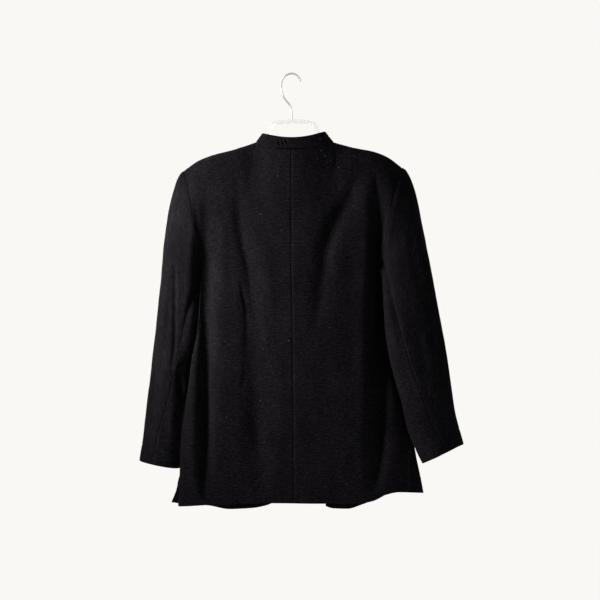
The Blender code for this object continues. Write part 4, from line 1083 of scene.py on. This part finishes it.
def add_sleeve(side, cloth):
    """Upper and under halves of a sleeve, with their normals taken right round it."""
    over, below = sleeve_half(side, "upper"), sleeve_half(side, "under")
    whole = np.concatenate([below[:, -2:-1], over[:, :-1], below, over[:, 1:2]], axis=1)
    normals = grid_normals(whole)[:, 1:-1] * side
    seam = over.shape[1] - 1
    arm_way = arm_normal(side, whole[0, 1:-1])[None]
    halves = (("upper", over, slice(0, seam + 1)), ("under", below, slice(seam, None)))
    panels = []
    steep, offset = SLEEVE_FACING
    for half, points, part in halves:
        panel = Panel(f"sleeve_{half}_{SIDE_NAMES[side]}", points, normals[:, part])
        x, z = points[..., 0], points[..., 2]
        for creases, face in ((SLEEVE_BACK_CREASES, BACK), (SLEEVE_FRONT_CREASES, FRONT)):
            shown = np.clip(face * panel.normals[..., 1] * steep + offset, 0, 1)
            panel.lift += creases_at(creases[side], x, z) * shown
        round_x = x + SLEEVE_WRAP * points[..., 1]
        for height, wide, tall, seed in SLEEVE_RUMPLES:
            panel.lift += height * soft_noise(round_x, z, wide, tall, seed + side)
        panel.still("low", CALM["sleeve head"])
        panel.still("left", CALM["sleeve"])
        panel.still("right", CALM["sleeve"])
        if half == "upper":
            across = np.arange(points.shape[1]) / (points.shape[1] - 1)
            head = np.exp(-((across - HEAD_ROLL_MIDDLE) / HEAD_ROLL_SPREAD) ** 2)
            from_seam = (panel.down - HEAD_ROLL_AT) / HEAD_ROLL_WIDTH
            panel.lift += HEAD_ROLL * head * np.exp(-(from_seam ** 2))
        panel.seam("low", arm_way[:, part], pucker=PUCKER["sleeve head"], seed=24)
        shows = {"left": 1.0, "right": 1.0}
        shows["right" if half == "upper" else "left"] = follow(BACK_SEAM_SHOWS[side], 1, z)
        panel.seam("left", where=shows["left"], pucker=PUCKER["sleeve"], seed=25)
        panel.seam("right", where=shows["right"], pucker=PUCKER["sleeve"], seed=26)
        panel.fold("high")
        panel.imprint("high", *CUFF_MARK)
        panels.append(panel.build(cloth, side < 0))
    return panels


def collar_points():
    """Middle surface of the collar, from the left end at the centre front round the back."""
    bases, tops = [], []
    quarters = ((LEFT, FRONT, 1, 0), (LEFT, BACK, 0, 1), (RIGHT, BACK, 1, 0), (RIGHT, FRONT, 0, 1))
    for side, face, start, end in quarters:
        turn = even(float(start), COLLAR_STEPS, float(end))[0 if (side, face) == (LEFT, FRONT) else 1:]
        angle = turn * math.pi / 2
        base = np.stack([part + 0 * turn for part in neck_line(side, face, turn)], -1)
        side_x, side_z = COLLAR_TOP_SIDES[:2] if side == LEFT else COLLAR_TOP_SIDES[2:]
        middle_y, middle_z = COLLAR_TOP_BACK if face == BACK else COLLAR_TOP_FRONT
        lap = lap_shift(side, base[:, 0]) * np.sin(angle) if face == FRONT else 0.0
        drop = side_z + (middle_z - side_z) * np.sin(angle) ** COLLAR_DROP[face]
        tops.append(np.stack([side_x * np.cos(angle), middle_y * np.sin(angle) + lap, drop], -1))
        bases.append(base)
    base, top = np.concatenate(bases), np.concatenate(tops)
    rows = even(0.0, COLLAR_ROWS, COLLAR_EDGE_START), 1 - EDGE_ROWS[::-1] * COLLAR_EDGE_SCALE
    return base + (top - base) * np.concatenate(rows)[:, None, None]


def add_collar(cloth):
    """Stand collar, drawn in at the neck seam and turned over at its top and ends."""
    points = collar_points()
    points[:, 0, 0] = np.maximum(points[:, 0, 0], COLLAR_END)
    points[:, -1, 0] = np.minimum(points[:, -1, 0], -COLLAR_END)
    panel = Panel("collar", points, -grid_normals(points))
    panel.half[:] = COLLAR_CLOTH / 2
    behind = np.clip(panel.normals[..., 1] * COLLAR_FACING, 0, 1)
    panel.lift += creases_at(COLLAR_CREASES, points[..., 0], points[..., 2]) * behind
    height, wide, tall, seed = COLLAR_RUMPLE
    panel.lift += height * soft_noise(panel.across, panel.down, wide, tall, seed)
    panel.still("low", CALM["collar"])
    panel.seam("low", neck_way(points[0])[None], pucker=PUCKER["collar"], seed=42)
    panel.press("low", behind)
    for border in ("high", "left", "right"):
        panel.fold(border)
    return panel.build(cloth, True)


def ring_faces(rings, sides):
    """Four-sided faces between rings of points."""
    faces = []
    for start in range(0, (rings - 1) * sides, sides):
        for corner in range(sides):
            a, b = start + corner, start + (corner + 1) % sides
            faces.append((a, b, b + sides, a + sides))
    return faces


def tube(path, radii, sides):
    """Vertices and faces of a round rod along a path, with frames that don't twist."""
    run = unit(np.gradient(path, axis=0))
    level = np.array([0.0, 1.0, 0.0])
    if abs(run[0] @ level) > 0.9:
        level = np.array([1.0, 0.0, 0.0])
    rows = []
    turns = 2 * np.pi * np.arange(sides) / sides
    for point, way, radius in zip(path, run, radii):
        wide = unit(np.cross(way, level))
        level = np.cross(wide, way)
        rows.append(point + radius * (np.cos(turns)[:, None] * wide + np.sin(turns)[:, None] * level))
    vertices = np.concatenate(rows)
    last = len(vertices) - sides
    faces = [tuple(range(sides)), tuple(range(len(vertices) - 1, last - 1, -1))]
    faces += [(a, d, c, b) for a, b, c, d in ring_faces(len(path), sides)]
    return vertices, faces


def round_ends(path, radius, end_share):
    """Path and radii of a rod whose ends are domed."""
    turns = np.radians([80, 60, 40, 20])
    ends = []
    for point, inner in ((path[0], path[1]), (path[-1], path[-2])):
        out = unit(point - inner)
        ends.append([point + out * radius * end_share * math.sin(turn) for turn in turns])
    small = radius * end_share * np.cos(turns)
    full = np.full(len(path), radius)
    full[0] = full[-1] = radius * end_share
    path = np.concatenate([ends[0], path, ends[1][::-1]])
    return path, np.concatenate([small, full, small[::-1]])


def add_hanger(plastic, steel):
    """Clear bar and wire hook, on the CAD's own paths with finer rings."""
    drop = CLOTH / 2 + SEAM_GAP + BAR_RADIUS
    arms = []
    for columns in SHOULDER_X_Z.values():
        x, z = (follow(SHOULDER, column, np.array(ARM_SHARES)) for column in columns)
        arms.append(list(zip(x, z - drop * ROOF_SLACK)))
    knots = arms[0] + list(BAR_NECK) + arms[1][::-1]
    bar = smooth_path(knots, 8)
    wire = smooth_path(WIRE, 10)
    pieces = (
        ("hanger_bar", "hanger", bar, BAR_RADIUS, BAR_END, 24, plastic, "hanger_plastic"),
        ("hook_wire", "hook", wire, WIRE_RADIUS, 1.0, 20, steel, "hook_steel"),
    )
    for name, node, flat, radius, end_share, sides, material, slot in pieces:
        path = np.stack([flat[:, 0], 0 * flat[:, 0], flat[:, 1]], -1)
        path, radii = round_ends(path, radius, end_share)
        vertices, faces = tube(path, radii, sides)
        add_mesh(name, vertices * MM, faces, material, node)


def add_camera():
    """Camera at the photograph's place, level with the jacket's middle."""
    data = bpy.data.cameras.new("camera")
    data.sensor_width = SENSOR
    data.lens = SENSOR * CAMERA_AWAY / (PIXEL * IMAGE_PIXELS)
    camera = link("camera", data)
    camera.location = (CAMERA_X * MM, CAMERA_AWAY * MM, CAMERA_Z * MM)
    camera.rotation_euler = (math.pi / 2, 0, math.pi)
    bpy.context.scene.camera = camera


def add_light(name, place, aim, size, spread, energy, colour):
    """Soft square light that points at a place."""
    data = bpy.data.lights.new(name, "AREA")
    data.size = size
    data.energy = energy
    data.color = colour
    data.spread = math.radians(spread)
    light = link(name, data)
    light.location = place
    way = np.array(aim) - np.array(place)
    flat = math.hypot(way[0], way[1])
    light.rotation_euler = (math.atan2(flat, -way[2]), 0, math.atan2(way[1], way[0]) - math.pi / 2)
    light.visible_camera = False


def surface_at(panel, x, z):
    """Point on a panel's outer face at this place, and the direction out of it."""
    gaps = (panel.points[..., 0] - x) ** 2 + (panel.points[..., 2] - z) ** 2
    nearest = np.argsort(gaps, axis=None)[:4]
    weights = 1 / (gaps.reshape(-1)[nearest] + 0.05)
    weights = (weights / weights.sum())[:, None]
    out = (panel.lift + panel.half - panel.groove).reshape(-1, 1)
    faces = panel.points.reshape(-1, 3) + panel.normals.reshape(-1, 3) * out
    normal = unit((panel.normals.reshape(-1, 3)[nearest] * weights).sum(0))
    return (faces[nearest] * weights).sum(0), normal


def join_tubes(name, strands, radius, sides, material):
    """One piece of many thin strands, each given by its path."""
    vertices, faces = [], []
    start = 0
    for path in strands:
        points, ring = tube(np.array(path, float), np.full(len(path), radius), sides)
        vertices.append(points)
        faces += [tuple(corner + start for corner in face) for face in ring]
        start += len(points)
    add_mesh(name, np.concatenate(vertices) * MM, faces, material)


def button_height(out, turn):
    """Height of a button's face: a rim, a dished middle and four holes."""
    knots = np.array(BUTTON_FACE)[::-1]
    height = np.interp(out, knots[:, 0], knots[:, 1]) * BUTTON_THICK
    x, z = out * BUTTON_RADIUS * np.cos(turn), out * BUTTON_RADIUS * np.sin(turn)
    gap = np.hypot(np.abs(x) - HOLE_OUT, np.abs(z) - HOLE_OUT)
    return height - HOLE_DEEP / (1 + np.exp((gap - HOLE_RADIUS) / HOLE_SOFT))


def add_buttons(front, horn, thread):
    """Buttons with rim and holes, the thread that holds them, and the buttonholes beside them."""
    turns = 2 * np.pi * np.arange(BUTTON_CORNERS_FINE) / BUTTON_CORNERS_FINE
    outs = even(0.9, 10, 0.72, 24, 0.015)
    threads, holes = [], []
    for index in range(BUTTON_COUNT):
        node = f"button_{index + 1}"
        low, high = (np.array(corner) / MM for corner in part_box(node))
        x, base, z = (low[0] + high[0]) / 2, high[1], (low[2] + high[2]) / 2
        rings = [(out, 0 * turns + lift * BUTTON_THICK) for out, lift in BUTTON_SIDE]
        rings += [(out, button_height(out, turns)) for out in outs]
        points = [
            np.stack([x + out * BUTTON_RADIUS * np.cos(turns), base - rise,
                      z + out * BUTTON_RADIUS * np.sin(turns)], -1)
            for out, rise in rings
        ]
        count = len(turns)
        last = (len(points) - 1) * count
        faces = [tuple(range(count))[::-1], tuple(range(last, last + count))]
        faces += ring_faces(len(points), count)
        add_mesh(f"{node}_turned", np.concatenate(points) * MM, faces, horn, node)
        top = base - BUTTON_FACE[-1][1] * BUTTON_THICK
        threads += button_threads(x, top, z)
        holes += buttonhole(front, x, z)
    for name, strands in (("button_threads", threads), ("buttonholes", holes)):
        join_tubes(name, strands, THREAD_RADIUS, 6, thread)


def button_threads(x, top, z):
    """Strands that cross from hole to hole."""
    strands = []
    for cross in (LEFT, RIGHT):
        for strand in (-1, 0, 1):
            path = []
            for share in np.linspace(-1, 1, 9):
                aside = strand * THREAD_SPREAD * THREAD_RADIUS * (1 - 0.5 * abs(share))
                lift = THREAD_RISE * (1 - share ** 4) - THREAD_SINK + THREAD_OVER * (cross > 0)
                path.append((x + share * HOLE_OUT - aside * cross * DIAGONAL, top - lift,
                             z + share * cross * HOLE_OUT + aside * DIAGONAL))
            strands.append(path)
    return strands


def buttonhole(front, x, z):
    """Stitches on both sides of a buttonhole, and the bar at its end."""
    strands = []
    for along in np.arange(HOLE_START, HOLE_END, STITCH_STEP):
        for way in (1, -1):
            point, normal = surface_at(front, x + along, z)
            strands.append([
                point + normal * (STITCH_RISE + STITCH_ARCH * math.sin(share * math.pi))
                + np.array([0.0, 0.0, way * (SLIT_HALF + STITCH_LONG * share)])
                for share in np.linspace(0, 1, 5)
            ])
    for along in np.arange(HOLE_END, HOLE_END + END_WIDE, END_STEP):
        point, normal = surface_at(front, x + along, z)
        strands.append([point + normal * END_RISE + np.array([0.0, 0.0, END_HALF * share])
                        for share in np.linspace(-1, 1, 5)])
    return strands


def add_lint(panels, material):
    """Flecks of lint: tangled short fibres where the photograph shows them, and a few more."""
    rng = np.random.default_rng(LINT_SEED)
    places = list(LINT)
    for name, low, high, count in LINT_FIELDS:
        spots = rng.uniform((low[0], low[1]), (high[0], high[1]), (count, 2))
        places += [(name, x, z, rng.uniform(*LINT_SIZES)) for x, z in spots]
    strands = []
    for name, x, z, size in places:
        point, normal = surface_at(panels[name], x, z)
        level = unit(np.cross(normal, (0.0, 0.0, 1.0)))
        upward = np.cross(normal, level)
        for _ in range(int(LINT_FIBRES[0] + LINT_FIBRES[1] * size)):
            turn, bend = rng.uniform(0, 2 * math.pi), rng.uniform(-LINT_BEND, LINT_BEND)
            at = point + normal * rng.uniform(*LINT_HEIGHTS)
            path = [at]
            for _ in range(LINT_STEPS):
                turn += bend * LINT_TURN
                at = at + size * LINT_STEP * (math.cos(turn) * level + math.sin(turn) * upward)
                path.append(at + normal * rng.uniform(*LINT_WAVER))
            strands.append(path)
    join_tubes("lint", strands, LINT_RADIUS, 3, material)


def add_neck_painted_shadow_thread(material):
    """Thread in the neck seam, where the collar is pressed over it, coloured far darker than the cloth
    as a painted shadow line.
    """
    strands = []
    for side, start in NECK_SHADOW_THREAD_STARTS:
        x, y, z = neck_line(side, BACK, np.linspace(start, 1.0, 12))
        strands.append(list(np.stack([x, y + NECK_SHADOW_THREAD_OUT, z], -1)))
    join_tubes("neck_painted_shadow_thread", strands, NECK_SHADOW_THREAD_RADIUS, 8, material)


def add_underarm_tacks(material):
    """Stitches that close the corner where body and sleeve meet under each arm."""
    strands = []
    for corner in UNDERARMS:
        for stitch in range(TACK_STITCHES):
            middle = np.array(corner) + (0.0, 0.0, (stitch - (TACK_STITCHES - 1) / 2) * TACK_STEP)
            strands.append([middle + (TACK_REACH * share, 0.5 - share * share, 0.3 * share)
                            for share in np.linspace(-1, 1, 5)])
    join_tubes("underarm_tacks", strands, TACK_RADIUS, 6, material)


def set_socket(tree, item, key, value):
    """Sets or links a socket by its name, or by its number as in _0."""
    socket = item.inputs[int(key[1:])] if key[0] == "_" else item.inputs[key.replace("_", " ")]
    if isinstance(value, bpy.types.NodeSocket):
        tree.links.new(value, socket)
    else:
        socket.default_value = value


def set_node(owner, name, **given):
    """Sets or links sockets of a node that a material or world already has."""
    for key, value in given.items():
        set_socket(owner.node_tree, owner.node_tree.nodes[name], key, value)


def node_maker(owner):
    """Way to add nodes to a material or world, with their properties and sockets."""
    owner.use_nodes = True
    tree = owner.node_tree

    def add(kind, **given):
        item = tree.nodes.new(kind)
        for key, value in given.items():
            if key in item.bl_rna.properties:
                setattr(item, key, value)
            else:
                set_socket(tree, item, key, value)
        return item

    return add


def noise_of(add, vector, size, detail=2.0, roughness=0.5):
    """Noise from 0 to 1 over cells of this size, in metres across and along."""
    scaled = add("ShaderNodeVectorMath", operation="MULTIPLY", _0=vector,
                 _1=(1 / size[0], 1 / size[1], 1 / size[-1]))
    noise = add("ShaderNodeTexNoise", Vector=scaled.outputs[0], Scale=1.0, Detail=detail,
                Roughness=roughness)
    return noise.outputs["Fac"]


def blend_of(add, low, high, at):
    """Number that goes from low to high as another goes from 0 to 1."""
    return add("ShaderNodeMapRange", _0=at, _1=0.25, _2=0.75, _3=low, _4=high).outputs[0]


def plain_material(name, size, low, high, detail=2.0, roughness=0.5, relief=None, bump=None,
                   shine=None, **given):
    """One of the materials of MATERIALS."""
    material = bpy.data.materials.new(name)
    add = node_maker(material)
    place = add("ShaderNodeTexCoord").outputs["Object"]
    tone = noise_of(add, place, size, detail, roughness)
    noises = {"tone": tone, "relief": noise_of(add, place, *relief) if relief else tone}
    colour = add("ShaderNodeMixRGB", Fac=tone, Color1=(*low, 1), Color2=(*high, 1))
    if bump:
        strength, distance = bump
        given["Normal"] = add("ShaderNodeBump", Strength=strength, Distance=distance,
                              Height=noises["relief"]).outputs[0]
    if shine:
        follows, least, most = shine
        given["Roughness"] = blend_of(add, least, most, noises[follows])
    set_node(material, "Principled BSDF", Base_Color=colour.outputs[0], **given)
    return material


def cloth_material():
    """Black wool crepe: uneven cross threads, pebbled and mottled nap, a little sheen, pale flecks."""
    material = bpy.data.materials.new("black wool crepe")
    add = node_maker(material)
    grain = add("ShaderNodeUVMap", uv_map="grain").outputs[0]
    place = add("ShaderNodeTexCoord").outputs["Object"]
    slub, pebble, nap = (noise_of(add, grain, *look[0]) for look in (SLUB, PEBBLE, NAP))
    wear = noise_of(add, place, *WEAR[0])
    tone = blend_of(add, *SLUB[1], slub)
    for look, layer in ((PEBBLE, pebble), (NAP, nap), (WEAR, wear)):
        share = blend_of(add, *look[1], layer)
        tone = add("ShaderNodeMath", operation="MULTIPLY", _0=tone, _1=share).outputs[0]
    colour = add("ShaderNodeMixRGB", blend_type="MULTIPLY", Fac=1.0, Color1=(*CLOTH_COLOUR, 1.0),
                 Color2=tone).outputs[0]
    cells = add("ShaderNodeTexVoronoi", Vector=grain, Scale=FLECK_SCALE)
    fleck = add("ShaderNodeMapRange", _0=cells.outputs["Distance"], _1=FLECK_SIZE * 1.6, _2=FLECK_SIZE,
                _3=0.0, _4=1.0).outputs[0]
    rare = add("ShaderNodeMapRange", _0=nap, _1=0.5, _2=0.62, _3=0.0, _4=1.0).outputs[0]
    fleck = add("ShaderNodeMath", operation="MULTIPLY", _0=fleck, _1=rare).outputs[0]
    colour = add("ShaderNodeMixRGB", Fac=fleck, Color1=colour, Color2=(*FLECK_COLOUR, 1.0)).outputs[0]
    threads = noise_of(add, grain, *THREADS)
    height = add("ShaderNodeMath", operation="ADD", _0=threads, _1=pebble).outputs[0]
    height = add("ShaderNodeMath", operation="MULTIPLY_ADD", _0=nap, _1=NAP_RELIEF, _2=height).outputs[0]
    bump = add("ShaderNodeBump", Strength=CLOTH_BUMP, Distance=CLOTH_BUMP_DEEP, Height=height).outputs[0]
    set_node(material, "Principled BSDF", Base_Color=colour, Roughness=0.92, Specular_IOR_Level=0.0,
             Sheen_Weight=CLOTH_SHEEN, Sheen_Roughness=0.55, Sheen_Tint=CLOTH_SHEEN_TINT,
             Normal=bump)
    return material


def add_stage(floor_material):
    """Pale round floor far below, pale surroundings and soft lights."""
    turns = 2 * np.pi * np.arange(FLOOR_CORNERS) / FLOOR_CORNERS
    rim = np.stack([FLOOR_RADIUS * np.cos(turns), FLOOR_RADIUS * np.sin(turns), 0 * turns + FLOOR_Z], -1)
    mesh = bpy.data.meshes.new("floor")
    mesh.from_pydata([tuple(point) for point in (rim * MM).tolist()], [], [tuple(range(FLOOR_CORNERS))])
    mesh.materials.append(floor_material)
    link("floor", mesh)
    world = bpy.data.worlds.new("studio")
    add = node_maker(world)
    way = add("ShaderNodeSeparateXYZ", _0=add("ShaderNodeTexCoord").outputs["Generated"])
    side = add("ShaderNodeMapRange", interpolation_type="SMOOTHSTEP", _0=way.outputs["Y"], _1=-0.5,
               _2=0.15)
    lit = add("ShaderNodeMixRGB", _0=side.outputs[0], _1=(*WALL_COLOUR, 1), _2=(*ROOM_COLOUR, 1))
    rays = add("ShaderNodeLightPath").outputs["Is Diffuse Ray"]
    tone = add("ShaderNodeMixRGB", _0=rays, _1=(*WALL_COLOUR, 1), _2=lit.outputs[0])
    set_node(world, "Background", Color=tone.outputs[0], Strength=1.0)
    bpy.context.scene.world = world
    for light in LIGHTS:
        add_light(*light)
    bpy.context.scene.view_settings.view_transform = "Standard"


def dress():
    """Every piece of the jacket and its hanger, the camera and the stage."""
    cloth = cloth_material()
    plain = {name: plain_material(name, **look) for name, look in MATERIALS.items()}
    built = []
    for side in (LEFT, RIGHT):
        built += [add_body_panel(side, face, cloth) for face in (BACK, FRONT)]
        built += add_sleeve(side, cloth)
    built.append(add_collar(cloth))
    panels = {panel.name: panel for panel in built}
    add_buttons(panels["front_left_cloth"], plain["dark horn"], plain["black thread"])
    add_hanger(plain["clear plastic"], plain["bright steel"])
    # painted shadow line in the neck seam under the collar
    add_neck_painted_shadow_thread(plain["painted shadow thread"])
    add_underarm_tacks(plain["black thread"])
    add_lint(panels, plain["lint"])
    add_camera()
    add_stage(plain["pale floor"])


dress()
